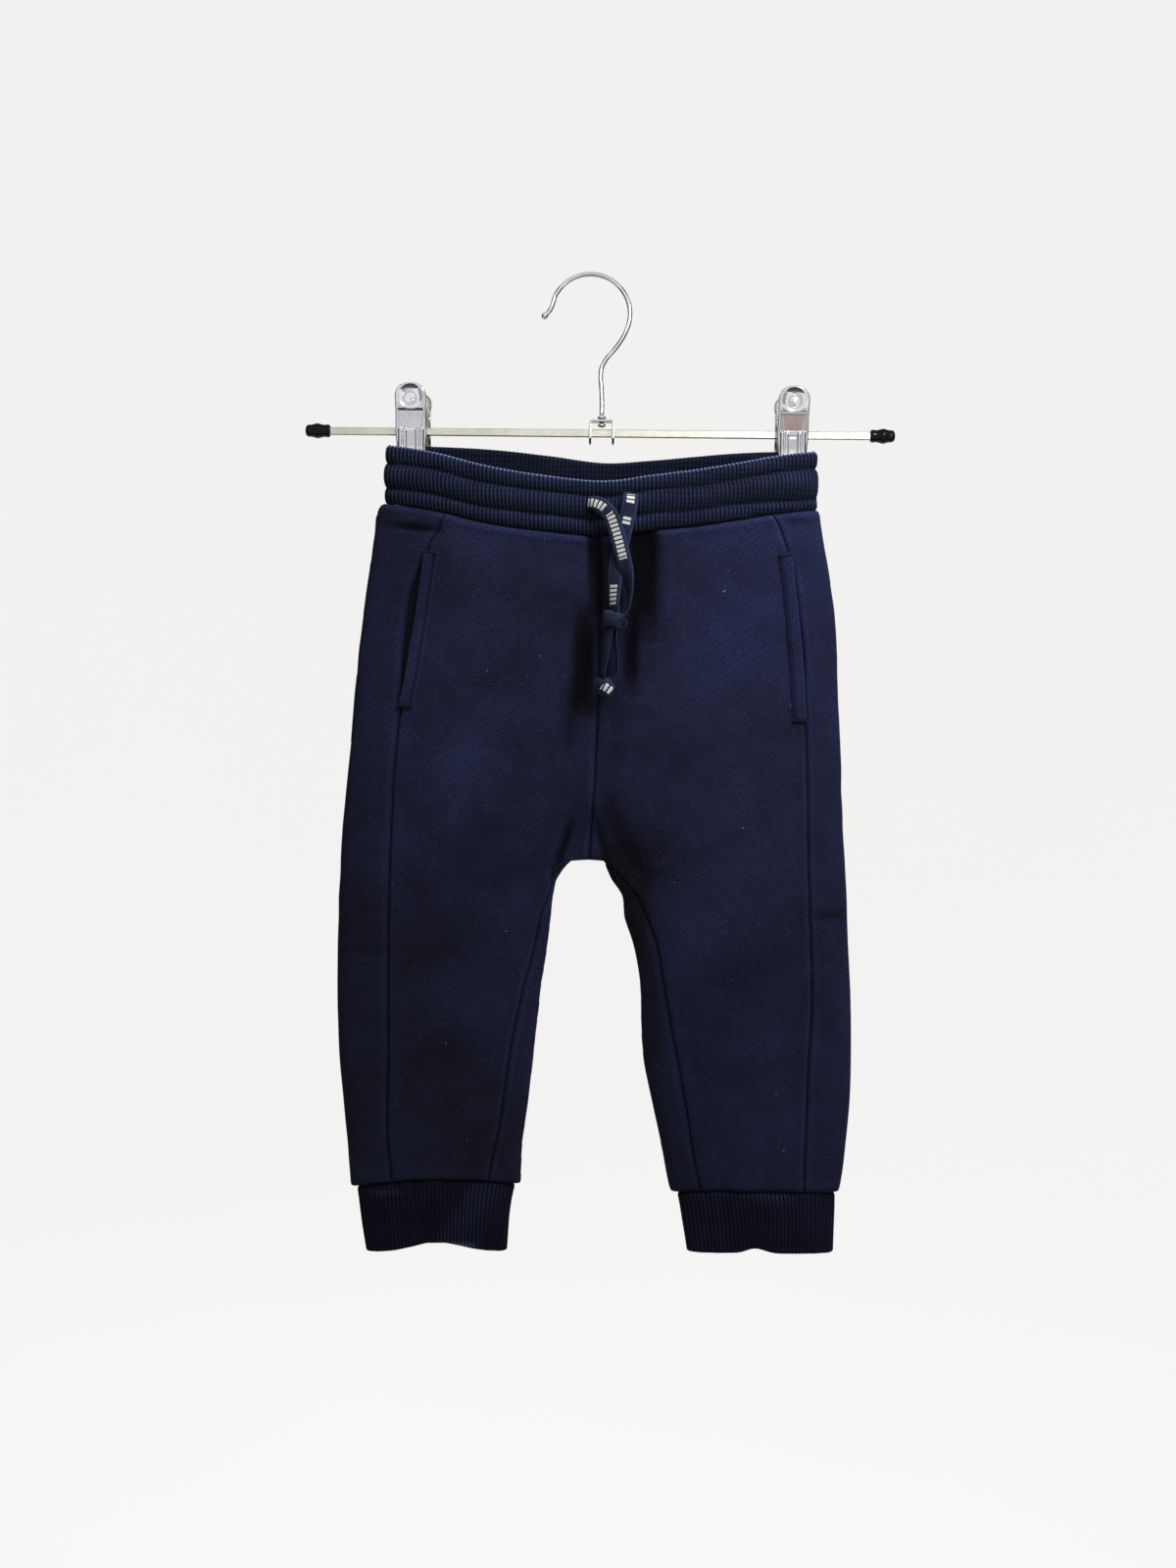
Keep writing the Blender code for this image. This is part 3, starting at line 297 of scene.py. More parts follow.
FRONT_CREASES = (
    Crease((-4.6, 22), (-2.2, 98), 3.0, 4.2, 1.8),  # beside the drawstring
    Crease((-0.6, 66), (-0.4, 118), 1.8, 3.0, 1.4),
    Crease((-8.2, 96), (-9.6, 152), 3.0, 5.8, 1.6),
    Crease((-13.0, 132), (-18.0, 176), 1.4, 5.0),
    Crease((22.6, 14), (23.0, 110), 3.4, 7.4, 2.4),
    Crease((35.0, 40), (35.5, 112), -0.7, 3.4),
    Crease((16.8, 98), (16.0, 141), 2.4, 4.0, 1.6),
    Crease((8, 138), (9, 186), 0.7, 6.0),
    Crease((-116, 51.5), (-86, 55.0), 2.0, 1.9),  # the pucker under the waistband's corner
    Crease((-112, 49.4), (-93, 50.6), -0.5, 1.6),
    Crease((96, 47), (114, 50), 0.8, 2.0),
    Crease((-2.2, 188), (-3.4, 226), -0.5, 1.5),  # the centre seam's right lip
    Crease((-14.6, 210), (-24.4, 240), 2.8, 2.3),  # at the crotch
    Crease((-19.0, 217), (-27.0, 242), -0.6, 2.0),
    Crease((4, 198), (23, 242), 1.5, 6.2),
    Crease((18, 230), (42, 250), 0.5, 7.0),
    Crease((-24, 226), (-60, 246), 0.8, 7.0),
    Crease((116, 260.3), (136, 260.0), 0.9, 2.6),
    Crease((-137, 283), (-112, 280), 0.6, 3.0),
    Crease((-60, 262), (-112, 300), 0.5, 11.0),
    Crease((50, 300), (104, 282), 0.6, 10.0),
    Crease((-52, 330), (-106, 340), 0.5, 9.0),
    Crease((58, 352), (112, 338), 0.5, 9.0),
)
BACK_CREASES = (
    Crease((-2, 60), (-3, 150), 0.8, 6.0),
    Crease((-30, 190), (-6, 222), 1.2, 7.0),
    Crease((28, 188), (8, 222), 1.1, 7.0),
    Crease((-96, 52), (-118, 55), 0.8, 2.0),
    Crease((96, 52), (116, 54), 0.8, 2.0),
    Crease((-60, 232), (-100, 250), 0.8, 8.0),
    Crease((48, 236), (96, 252), 0.8, 8.0),
    Crease((-60, 300), (-120, 292), 0.8, 6.0),
    Crease((50, 306), (110, 296), 0.8, 6.0),
    Crease((-64, 340), (-118, 352), 0.6, 9.0),
    Crease((60, 350), (116, 344), 0.6, 9.0),
)


@dataclass(frozen=True)
class RubAndLight:
    """A soft spot where the cloth is lighter than round it, or darker where its strength is below 0; some are
    faded nap, others painted light and painted shade.
    """

    x: float
    drop: float
    wide: float
    tall: float
    strength: float

    def at(self, x: Array, drop: Array) -> Array:
        """How much lighter the colour is at each point."""
        across, down = (x - self.x) / self.wide, (drop - self.drop) / self.tall
        return self.strength * np.exp(-(across**2) - down**2)


# lighter spots of faded nap and of painted light, and darker spots of painted shade: the crotch, the inner
# legs' strips, the outer folds and the lower left leg
FRONT_RUBS_AND_LIGHT = (
    RubAndLight(-74, 181, 17, 20, 0.34), RubAndLight(78, 100, 40, 62, 0.17), RubAndLight(70, 56, 46, 7, 0.14),
    RubAndLight(84, 234, 30, 34, 0.12), RubAndLight(-52, 58, 34, 8, 0.10), RubAndLight(-108, 300, 46, 80, -0.20),
    RubAndLight(-76, 380, 60, 46, -0.26), RubAndLight(-46, 120, 16, 52, -0.10), RubAndLight(-20, 200, 22, 26, -0.14),
    RubAndLight(-1.0, 204, 1.5, 22, 0.34), RubAndLight(-4, 230, 13, 5, -0.34), RubAndLight(10, 241, 7, 13, -0.9),
    RubAndLight(22, 262, 8, 24, -0.7), RubAndLight(32, 306, 8, 36, -0.4), RubAndLight(-30, 250, 6, 30, -0.2),
    RubAndLight(118, 250, 12, 90, -0.16), RubAndLight(34, 230, 24, 18, -0.24), RubAndLight(-126, 210, 12, 70, -0.16),
    RubAndLight(86, 330, 24, 40, 0.06),
)
BACK_RUBS = (
    RubAndLight(60, 150, 46, 40, 0.24), RubAndLight(-58, 156, 44, 38, 0.22), RubAndLight(0, 62, 60, 10, 0.12),
    RubAndLight(84, 290, 26, 40, 0.10), RubAndLight(-80, 280, 26, 44, 0.08), RubAndLight(0, 210, 26, 22, -0.20),
    RubAndLight(-80, 384, 50, 30, -0.16), RubAndLight(84, 384, 46, 30, -0.12),
)


# ---- meshes ----
def link(made: Object) -> Object:
    """Puts an object in the scene."""
    bpy.context.scene.collection.objects.link(made)
    return made


def keep(name: str, mesh: bpy.types.Mesh, finish: Material) -> Object:
    """Dresses a mesh, turns its faces out, links it and makes it ride on the body.

    Args:
        name: the piece's name.
        mesh: closed or open, in metres.
        finish: its material.

    Returns:
        The new piece.
    """
    work = bmesh.new()
    work.from_mesh(mesh)
    bmesh.ops.recalc_face_normals(work, faces=work.faces)
    work.to_mesh(mesh)
    work.free()
    mesh.materials.append(finish)
    mesh.shade_smooth()
    made = link(bpy.data.objects.new(name, mesh))
    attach(made, BODY)
    return made


def mesh_of(name: str, points: Array, faces: list, marks: Marks | None = None) -> bpy.types.Mesh:
    """A mesh from garment points, with a number at each point under each mark's name."""
    mesh = bpy.data.meshes.new(name)
    mesh.from_pydata(world(points).tolist(), [], faces)
    for mark, values in (marks or {}).items():
        layer = mesh.attributes.new(mark, "FLOAT", "POINT")
        layer.data.foreach_set("value", np.ascontiguousarray(values, np.float32))
    return mesh


def lattice(rows: int, columns: int, first: int = 0, closed: bool = False) -> list[list[int]]:
    """The four-sided faces of a grid of points, closed round its columns where asked."""
    at = first + np.arange(rows * columns).reshape(rows, columns)
    if closed:
        at = np.hstack([at, at[:, :1]])
    return np.stack([at[:-1, :-1], at[:-1, 1:], at[1:, 1:], at[1:, :-1]], axis=-1).reshape(-1, 4).tolist()


def tube(rows: int, columns: int) -> list[list[int]]:
    """The faces of a tube of points, with a cap on each end."""
    last = (rows - 1) * columns
    return lattice(rows, columns, closed=True) + [list(range(columns)), list(range(last, last + columns))]


def hoop(rows: int, columns: int) -> list[list[int]]:
    """The faces of a tube of points whose end meets its start."""
    return (np.array(lattice(rows + 1, columns, closed=True)) % (rows * columns)).tolist()


def shell(name: str, outer: Array, inner: Array, finish: Material, marks: Marks | None = None) -> Object:
    """A thin closed wall between two grids of points.

    Args:
        name: the piece's name.
        outer: rows x columns x 3 points of the skin.
        inner: as many points of the other face.
        finish: its material.
        marks: for each mark, its number at each point of the grid.

    Returns:
        The new piece.
    """
    rows, columns = outer.shape[:2]
    half = rows * columns
    faces = lattice(rows, columns) + lattice(rows, columns, half)
    at = np.arange(half).reshape(rows, columns)
    rim = np.concatenate([at[0], at[1:, -1], at[-1, -2::-1], at[-2:0:-1, 0]])
    after = np.roll(rim, -1)
    faces += np.stack([rim, after, after + half, rim + half], axis=1).tolist()
    points = np.concatenate([outer.reshape(-1, 3), inner.reshape(-1, 3)])
    both = {mark: np.tile(values.reshape(-1), 2) for mark, values in (marks or {}).items()}
    return keep(name, mesh_of(name, points, faces, both), finish)


def ring(name: str, loops: Sequence[Array], finish: Material, marks: Marks) -> Object:
    """A closed wall from loops of points that run down its outside and back up its inside."""
    points, flat = np.concatenate(loops), {mark: values.reshape(-1) for mark, values in marks.items()}
    return keep(name, mesh_of(name, points, hoop(len(loops), len(loops[0])), flat), finish)


def strip(name: str, line: Array, wide: Array, thin: Array, widths: Array, finish: Material,
          thick: float = 0.9, cup: float = 0.0, closed: bool = False) -> Object:
    """A flat woven tape with rounded edges along a line.

    Args:
        name: the piece's name.
        line: its middle points.
        wide: at each point, the way across its face.
        thin: at each point, the way out of its face.
        widths: its width at each point.
        finish: its material.
        thick: its thickness.
        cup: how far its edges stand in front of its middle, as a share of its width.
        closed: whether its end meets its start.

    Returns:
        The new piece, marked with the place along and across it.
    """
    near = [(-1, 0), (-0.97, 0.36), (-0.84, 0.5), (-0.5, 0.5)]
    face = [*near, (0, 0.5), *((-a, b) for a, b in near[:0:-1])]
    sides = np.array(face + [(-a, -b) for a, b in face])
    bow = cup * (sides[:, 0] ** 2 - 0.4)
    reach = 0.5 * widths[:, None] * sides[:, 0]
    rise = thick * sides[:, 1] + widths[:, None] * bow
    points = line[:, None] + wide[:, None] * reach[..., None] + thin[:, None] * rise[..., None]
    rows, columns = points.shape[:2]
    faces = hoop(rows, columns) if closed else tube(rows, columns)
    marks = {"along": np.repeat(lengths(line), columns), "across": reach.reshape(-1)}
    return keep(name, mesh_of(name, points.reshape(-1, 3), faces, marks), finish)


def stitches(name: str, middles: Array, ways: Array, outs: Array, length: float, thick: float,
             finish: Material) -> Object:
    """A run of thread stitches, each a short fat bead of thread that dips into the cloth at both ends.

    Args:
        name: the piece's name.
        middles: where each stitch lies.
        ways: the way each runs.
        outs: the way out of the cloth.
        length: one stitch's length.
        thick: the thread's thickness.
        finish: its material.

    Returns:
        The new piece.
    """
    # share along, thickness there and lift, the last two as shares of the thread's thickness
    profile = ((-0.5, 0.25, -0.5), (-0.38, 0.8, 0.0), (0.0, 1.0, 0.25), (0.38, 0.8, 0.0), (0.5, 0.25, -0.5))
    ways, outs = unit(ways), unit(outs)
    across = np.cross(ways, outs)
    sides = 6
    turn = turns(sides)
    rings = []
    for share, size, lift in profile:
        middle = middles + ways * share * length + outs * lift * thick
        round_ = np.cos(turn)[:, None, None] * across + np.sin(turn)[:, None, None] * outs
        rings.append(middle + round_ * 0.5 * size * thick)
    points = np.transpose(np.array(rings), (2, 0, 1, 3))
    each, one = sides * len(profile), tube(len(profile), sides)
    faces = [[at + each * k for at in face] for k in range(len(middles)) for face in one]
    return keep(name, mesh_of(name, points.reshape(-1, 3), faces), finish)


# ---- finishes ----
def linear(code: str) -> tuple[float, float, float, float]:
    """A linear colour from an sRGB hex code such as #1c2036."""
    parts = [int(code[i : i + 2], 16) / 255 for i in (1, 3, 5)]
    flat = [c / 12.92 if c <= 0.04045 else ((c + 0.055) / 1.055) ** 2.4 for c in parts]
    return (*flat, 1.0)


def per(size: float) -> float:
    """A texture's scale, from its real size in millimetres."""
    return 1.0 / (size * MM)


def bands(pitch: float) -> float:
    """A wave texture's scale, from the pitch of its bands in millimetres."""
    return per(pitch) / 20 * math.pi


def feed(tree: Tree, node: Node, values: dict) -> Node:
    """Sets a node's properties and inputs, and links each input whose value is another node's output.

    Args:
        tree: the material's nodes.
        node: the node.
        values: for each property's or input's name or place, an output, a number, a vector or a hex colour.

    Returns:
        The same node.
    """
    for name, value in values.items():
        if isinstance(name, str) and hasattr(node, name):
            setattr(node, name, value)
        elif isinstance(value, bpy.types.NodeSocket):
            tree.links.new(value, node.inputs[name])
        else:
            node.inputs[name].default_value = linear(value) if isinstance(value, str) else value
    return node


def add(tree: Tree, kind: str, values: dict, out: int | str = 0) -> Socket:
    """Adds a node with its settings and links, and gives one of its outputs."""
    return feed(tree, tree.nodes.new(f"ShaderNode{kind}"), values).outputs[out]


def finish_tree(name: str) -> tuple[Material, Tree, Node]:
    """A new material, its nodes and its shader."""
    made = bpy.data.materials.new(name)
    made.use_nodes = True
    return made, made.node_tree, made.node_tree.nodes["Principled BSDF"]


def grain(tree: Tree, size: Place, detail: float = 2.0, low: float = 0.3, high: float = 0.7) -> Socket:
    """Unevenness from 0 to 1 whose grains have a size in millimetres along x, y and z.

    Args:
        tree: the material's nodes.
        size: the grains' size.
        detail: how many finer layers it has.
        low: the noise that counts as 0.
        high: the noise that counts as 1.

    Returns:
        Its output.
    """
    place = add(tree, "TexCoord", {}, "Object")
    fit = add(tree, "Mapping", {"Vector": place, "Scale": tuple(per(s) for s in size)})
    noise = add(tree, "TexNoise", {"Vector": fit, "Scale": 1.0, "Detail": detail, "Roughness": 0.6})
    return add(tree, "MapRange", {"Value": noise, "From Min": low, "From Max": high})


@dataclass(frozen=True)
class BrushedFleece:
    """Cotton fleece, knitted in loops and brushed: matt, with a short nap that fades where it is rubbed, and
    painted light and shade.
    """

    name: str = "brushed_cotton_fleece"
    dark: str = "#120f19"
    light: str = "#242b4e"
    fleck: str = "#4c5677"
    patch: float = 75.0  # where the nap lies one way
    nap: float = 16.0
    slub: float = 0.6  # thickness of a spun yarn, drawn twice as coarse as it is so that it shows
    rib: float = 1.5  # twill-like rows of loops, drawn twice as coarse

    def make(self) -> Material:
        """Builds the material."""
        made, tree, shader = finish_tree(self.name)
        patch = grain(tree, (self.patch, self.patch, self.patch))
        nap = grain(tree, (self.nap, self.nap, self.nap * 0.8), 4.0, 0.25, 0.75)
        slubs = grain(tree, (self.slub * 3, self.slub * 3, self.slub), 3.0)
        fuzz = grain(tree, (1.2, 1.2, 1.2), 3.0)
        flecks = grain(tree, (1.1, 1.1, 0.6), 1.0, 0.63, 0.74)
        # the faded mark: faded nap together with painted light and painted shade
        faded = add(tree, "Attribute", {"attribute_name": "faded"}, "Fac")
        seam = add(tree, "Attribute", {"attribute_name": "seam"}, "Fac")
        place = add(tree, "TexCoord", {}, "Object")
        turn = add(tree, "Mapping", {"Vector": place, "Rotation": (0.0, math.radians(38), 0.0)})
        rows = add(tree, "TexWave", {"Vector": turn, "bands_direction": "Z", "Scale": bands(self.rib),
                                     "Distortion": 1.2, "Detail": 1.0, "Detail Scale": 2.0}, "Fac")
        lie = add(tree, "Math", {"operation": "MULTIPLY_ADD", 0: patch, 1: 0.34, 2: faded})
        lie = add(tree, "Math", {"operation": "MULTIPLY_ADD", 0: nap, 1: 0.26, 2: lie})
        lie = add(tree, "Math", {"operation": "SUBTRACT", 0: lie, 1: 0.34, "use_clamp": True})
        colour = add(tree, "Mix", {"data_type": "RGBA", 0: lie, 6: self.dark, 7: self.light}, 2)
        shown = add(tree, "Math", {"operation": "MULTIPLY", 0: lie, 1: lie})
        shown = add(tree, "Math", {"operation": "MULTIPLY", 0: rows, 1: shown})
        shade = 0.58
        for layer, share in ((slubs, 0.40), (fuzz, 0.34), (shown, 0.34)):
            shade = add(tree, "Math", {"operation": "MULTIPLY_ADD", 0: layer, 1: share, 2: shade})
        # painted shade: the seam mark darkens the colour in the seams' grooves and in the creases
        sunk = add(tree, "Math", {"operation": "MULTIPLY", 0: seam, 1: seam})
        sunk = add(tree, "Math", {"operation": "MULTIPLY_ADD", 0: sunk, 1: -0.85, 2: 1.0})
        shade = add(tree, "Math", {"operation": "MULTIPLY", 0: shade, 1: sunk})
        grey = add(tree, "CombineColor", {0: shade, 1: shade, 2: shade})
        fleck = add(tree, "Math", {"operation": "MULTIPLY", 0: flecks, 1: 0.28})
        colour = add(tree, "Mix", {"data_type": "RGBA", 0: fleck, 6: colour, 7: self.fleck}, 2)
        blend = {"data_type": "RGBA", "blend_type": "MULTIPLY"}
        colour = add(tree, "Mix", {**blend, 0: 1.0, 6: colour, 7: grey}, 2)
        rough = add(tree, "MapRange", {"Value": fuzz, "To Min": 0.82, "To Max": 1.0})
        height = add(tree, "Math", {"operation": "MULTIPLY_ADD", 0: fuzz, 1: 0.4, 2: slubs})
        height = add(tree, "Math", {"operation": "MULTIPLY_ADD", 0: rows, 1: 0.3, 2: height})
        bump = add(tree, "Bump", {"Height": height, "Distance": 0.14 * MM})
        feed(tree, shader, {"Base Color": colour, "Roughness": rough, "Normal": bump, "Sheen Weight": 0.03,
                            "Sheen Roughness": 0.4, "Sheen Tint": "#8f9ac8", "Specular IOR Level": 0.1})
        return made


@dataclass(frozen=True)
class RibKnit:
    """Cotton rib with elastane, knitted in upright wales: their crests catch the light and fade first, and
    the crest mark also paints highlights and shade.
    """

    name: str = "cotton_rib_knit"
    valley: str = "#05060c"
    crest: str = "#2c3452"
    lip_highlight: str = "#66728f"  # painted highlight on the folded edge
    stitch: float = 1.3  # one loop's height, drawn a little coarse

    def make(self) -> Material:
        """Builds the material."""
        made, tree, shader = finish_tree(self.name)
        crest = add(tree, "Attribute", {"attribute_name": "crest"}, "Fac")
        nap = grain(tree, (26.0, 26.0, 12.0), 3.0)
        fuzz = grain(tree, (0.7, 0.7, 0.5), 2.0)
        place = add(tree, "TexCoord", {}, "Object")
        loops = add(tree, "TexWave", {"Vector": place, "bands_direction": "Z", "Scale": bands(self.stitch),
                                      "Distortion": 2.0, "Detail": 1.0, "Detail Scale": 1.5}, "Fac")
        level = add(tree, "Math", {"operation": "MULTIPLY", 0: crest, 1: 0.85})
        level = add(tree, "Math", {"operation": "MULTIPLY_ADD", 0: fuzz, 1: 0.25, 2: level})
        faded = add(tree, "Math", {"operation": "MULTIPLY_ADD", 0: nap, 1: 0.5, 2: 0.65})
        level = add(tree, "Math", {"operation": "MULTIPLY", 0: level, 1: faded})
        colour = add(tree, "Mix", {"data_type": "RGBA", 0: level, 6: self.valley, 7: self.crest}, 2)
        # crest marks above 1 turn towards the painted highlight's colour
        lip_highlight = add(tree, "MapRange", {"Value": crest, "From Min": 1.0, "From Max": 2.0})
        colour = add(tree, "Mix", {"data_type": "RGBA", 0: lip_highlight, 6: colour, 7: self.lip_highlight}, 2)
        rough = add(tree, "MapRange", {"Value": fuzz, "To Min": 0.85, "To Max": 1.0})
        height = add(tree, "Math", {"operation": "MULTIPLY_ADD", 0: fuzz, 1: 0.6, 2: loops})
        bump = add(tree, "Bump", {"Height": height, "Distance": 0.12 * MM})
        feed(tree, shader, {"Base Color": colour, "Roughness": rough, "Normal": bump, "Sheen Weight": 0.04,
                            "Sheen Roughness": 0.35, "Sheen Tint": "#8f9ac8", "Specular IOR Level": 0.1})
        return made


@dataclass(frozen=True)
class WovenTape:
    """Flat cotton tape, woven in a fine herringbone, with rows of plain white bars on parts of its face."""

    name: str = "woven_cotton_tape"
    dark: str = "#10131f"
    light: str = "#2b3652"
    bar: str = "#dcdcd8"
    thread: float = 0.6
    bar_pitch: float = 2.3
    bar_share: float = 0.66  # of the pitch, along the tape
    bar_half: float = 2.15
    bars: tuple[Span, ...] = ()  # where each row starts and ends along the tape

    def make(self) -> Material:
        """Builds the material."""
        made, tree, shader = finish_tree(self.name)
        along = add(tree, "Attribute", {"attribute_name": "along"}, "Fac")
        across = add(tree, "Attribute", {"attribute_name": "across"}, "Fac")
        fold = add(tree, "Math", {"operation": "ABSOLUTE", 0: across})
        slant = add(tree, "Math", {"operation": "ADD", 0: along, 1: fold})
        slant = add(tree, "Math", {"operation": "MULTIPLY", 0: slant, 1: math.pi / self.thread})
        weave = add(tree, "Math", {"operation": "SINE", 0: slant})
        weave = add(tree, "Math", {"operation": "MULTIPLY_ADD", 0: weave, 1: 0.5, 2: 0.5})
        fuzz = grain(tree, (0.5, 0.5, 0.5), 2.0)
        wear_and_light = grain(tree, (6.0, 6.0, 6.0), 2.0)
        selvedge = add(tree, "MapRange", {"Value": fold, "From Min": 2.6, "From Max": 4.1})
        level = add(tree, "Math", {"operation": "MULTIPLY", 0: fuzz, 1: 0.25})
        for layer, share in ((weave, 0.25), (wear_and_light, 0.3), (selvedge, 0.6)):
            level = add(tree, "Math", {"operation": "MULTIPLY_ADD", 0: layer, 1: share, 2: level})
        colour = add(tree, "Mix", {"data_type": "RGBA", 0: level, 6: self.dark, 7: self.light}, 2)
        if self.bars:
            beat = add(tree, "Math", {"operation": "DIVIDE", 0: along, 1: self.bar_pitch})
            beat = add(tree, "Math", {"operation": "FRACT", 0: beat})
            mask = add(tree, "Math", {"operation": "LESS_THAN", 0: beat, 1: self.bar_share})
            near = add(tree, "Math", {"operation": "LESS_THAN", 0: fold, 1: self.bar_half})
            mask = add(tree, "Math", {"operation": "MULTIPLY", 0: mask, 1: near})
            runs = None
            for start, end in self.bars:
                after = add(tree, "Math", {"operation": "GREATER_THAN", 0: along, 1: start})
                before = add(tree, "Math", {"operation": "LESS_THAN", 0: along, 1: end})
                run = add(tree, "Math", {"operation": "MULTIPLY", 0: after, 1: before})
                runs = run if runs is None else add(tree, "Math", {"operation": "ADD", 0: runs, 1: run})
            mask = add(tree, "Math", {"operation": "MULTIPLY", 0: mask, 1: runs})
            colour = add(tree, "Mix", {"data_type": "RGBA", 0: mask, 6: colour, 7: self.bar}, 2)
        rough = add(tree, "MapRange", {"Value": fuzz, "To Min": 0.7, "To Max": 0.95})
        height = add(tree, "Math", {"operation": "MULTIPLY_ADD", 0: fuzz, 1: 0.5, 2: weave})
        bump = add(tree, "Bump", {"Height": height, "Distance": 0.2 * MM})
        feed(tree, shader, {"Base Color": colour, "Roughness": rough, "Normal": bump, "Sheen Weight": 0.05,
                            "Sheen Roughness": 0.35, "Sheen Tint": "#a0aace", "Specular IOR Level": 0.15})
        return made


@dataclass(frozen=True)
class SpunThread:
    """Spun polyester sewing thread, two plies twisted: a fine diagonal and a slight lustre."""

    name: str = "polyester_thread"
    dark: str = "#06070e"
    light: str = "#171b2e"

    def make(self) -> Material:
        """Builds the material."""
        made, tree, shader = finish_tree(self.name)
        ply = grain(tree, (0.5, 0.5, 0.25), 2.0)
        colour = add(tree, "Mix", {"data_type": "RGBA", 0: ply, 6: self.dark, 7: self.light}, 2)
        rough = add(tree, "MapRange", {"Value": ply, "To Min": 0.6, "To Max": 0.85})
        bump = add(tree, "Bump", {"Height": ply, "Distance": 0.06 * MM})
        feed(tree, shader, {"Base Color": colour, "Roughness": rough, "Normal": bump,
                            "Specular IOR Level": 0.2})
        return made


@dataclass(frozen=True)
class PlatedMetal:
    """Steel plated with chrome or satin nickel: rubbing roughens it unevenly, and painted shade darkens its
    undersides.
    """

    name: str
    colour: str
    wear_and_light: str
    smooth: float
    rough: float
    rubbed: tuple[float, float, float] = (6.0, 6.0, 6.0)  # size of the rubbing marks
    rise: float = 0.0012  # and their depth
    below: str = "#77736a"  # painted shade on undersides
    # the painted shadow's colour
    black: str = "#0b0b0c"
    painted_shadow_under: float = 99.0  # drop under which it is painted shadow black

    def make(self) -> Material:
        """Builds the material."""
        made, tree, shader = finish_tree(self.name)
        smear = grain(tree, (9.0, 9.0, 9.0), 3.0)
        marks = grain(tree, self.rubbed, 4.0)
        colour = add(tree, "Mix", {"data_type": "RGBA", 0: smear, 6: self.colour, 7: self.wear_and_light}, 2)
        # painted shade: faces that look down turn towards the darker colour
        normal = add(tree, "NewGeometry", {}, "Normal")
        up = add(tree, "SeparateXYZ", {"Vector": normal}, "Z")
        under = add(tree, "MapRange", {"Value": up, "From Min": -0.35, "From Max": -0.95})
        colour = add(tree, "Mix", {"data_type": "RGBA", 0: under, 6: colour, 7: self.below}, 2)
        # painted shadow: black below a set drop
        place = add(tree, "TexCoord", {}, "Object")
        high = add(tree, "SeparateXYZ", {"Vector": place}, "Z")
        foot = -(BAR_BELOW_HOOK + self.painted_shadow_under) * MM
        low = add(tree, "MapRange", {"Value": high, "From Min": foot, "From Max": foot - 0.3 * MM})
        colour = add(tree, "Mix", {"data_type": "RGBA", 0: low, 6: colour, 7: self.black}, 2)
        level = add(tree, "Math", {"operation": "MULTIPLY", 0: smear, 1: 0.4})
        level = add(tree, "Math", {"operation": "MULTIPLY_ADD", 0: marks, 1: 0.6, 2: level})
        rough = add(tree, "MapRange", {"Value": level, "To Min": self.smooth, "To Max": self.rough})
        bump = add(tree, "Bump", {"Height": marks, "Distance": self.rise * MM})
        feed(tree, shader, {"Base Color": colour, "Roughness": rough, "Normal": bump, "Metallic": 1.0})
        return made


@dataclass(frozen=True)
class MouldedGloss:
    """Black polystyrene, moulded in a polished tool: a hard gloss with faint flow lines and dust."""

    name: str = "gloss_black_polystyrene"
    colour: str = "#050506"
    dust: str = "#1c1d20"

    def make(self) -> Material:
        """Builds the material."""
        made, tree, shader = finish_tree(self.name)
        flow = grain(tree, (14.0, 3.0, 3.0), 2.0)
        dust = grain(tree, (0.7, 0.7, 0.7), 1.0, 0.66, 0.78)
        dust = add(tree, "Math", {"operation": "MULTIPLY", 0: dust, 1: 0.08})
        colour = add(tree, "Mix", {"data_type": "RGBA", 0: dust, 6: self.colour, 7: self.dust}, 2)
        rough = add(tree, "MapRange", {"Value": flow, "To Min": 0.05, "To Max": 0.12})
        bump = add(tree, "Bump", {"Height": flow, "Distance": 0.02 * MM})
        feed(tree, shader, {"Base Color": colour, "Roughness": rough, "Normal": bump,
                            "IOR": 1.59, "Specular IOR Level": 0.14})
        return made


@dataclass(frozen=True)
class LooseLint:
    """Loose cotton fibre caught on the nap: pale and quite matt."""

    name: str = "cotton_lint"
    pale: str = "#b9bcc6"
    dull: str = "#6c7390"

    def make(self) -> Material:
        """Builds the material."""
        made, tree, shader = finish_tree(self.name)
        fibre = grain(tree, (0.4, 0.4, 0.4), 1.0)
        colour = add(tree, "Mix", {"data_type": "RGBA", 0: fibre, 6: self.pale, 7: self.dull}, 2)
        rough = add(tree, "MapRange", {"Value": fibre, "To Min": 0.85, "To Max": 1.0})
        feed(tree, shader, {"Base Color": colour, "Roughness": rough})
        return made


@dataclass(frozen=True)
class PaintedPaper:
    """Matt paper or card, painted: even, with only a breath of unevenness."""

    name: str = "matt_white_paper"
    light: str = "#5c5c5a"
    dark: str = "#585857"
    glow: float = 0.0  # light that comes through the paper from behind
    glowing: str = "#fffefd"  # and its colour

    def make(self) -> Material:
        """Builds the material."""
        made, tree, shader = finish_tree(self.name)
        cloud = grain(tree, (400.0, 400.0, 400.0), 2.0)
        colour = add(tree, "Mix", {"data_type": "RGBA", 0: cloud, 6: self.light, 7: self.dark}, 2)
        feed(tree, shader, {"Base Color": colour, "Roughness": 0.95, "Specular IOR Level": 0.1,
                            "Emission Color": self.glowing, "Emission Strength": self.glow})
        return made


def once(finish: Any) -> Any:
    """A field that holds a finish's material, made when the set is."""
    return field(default_factory=finish.make)


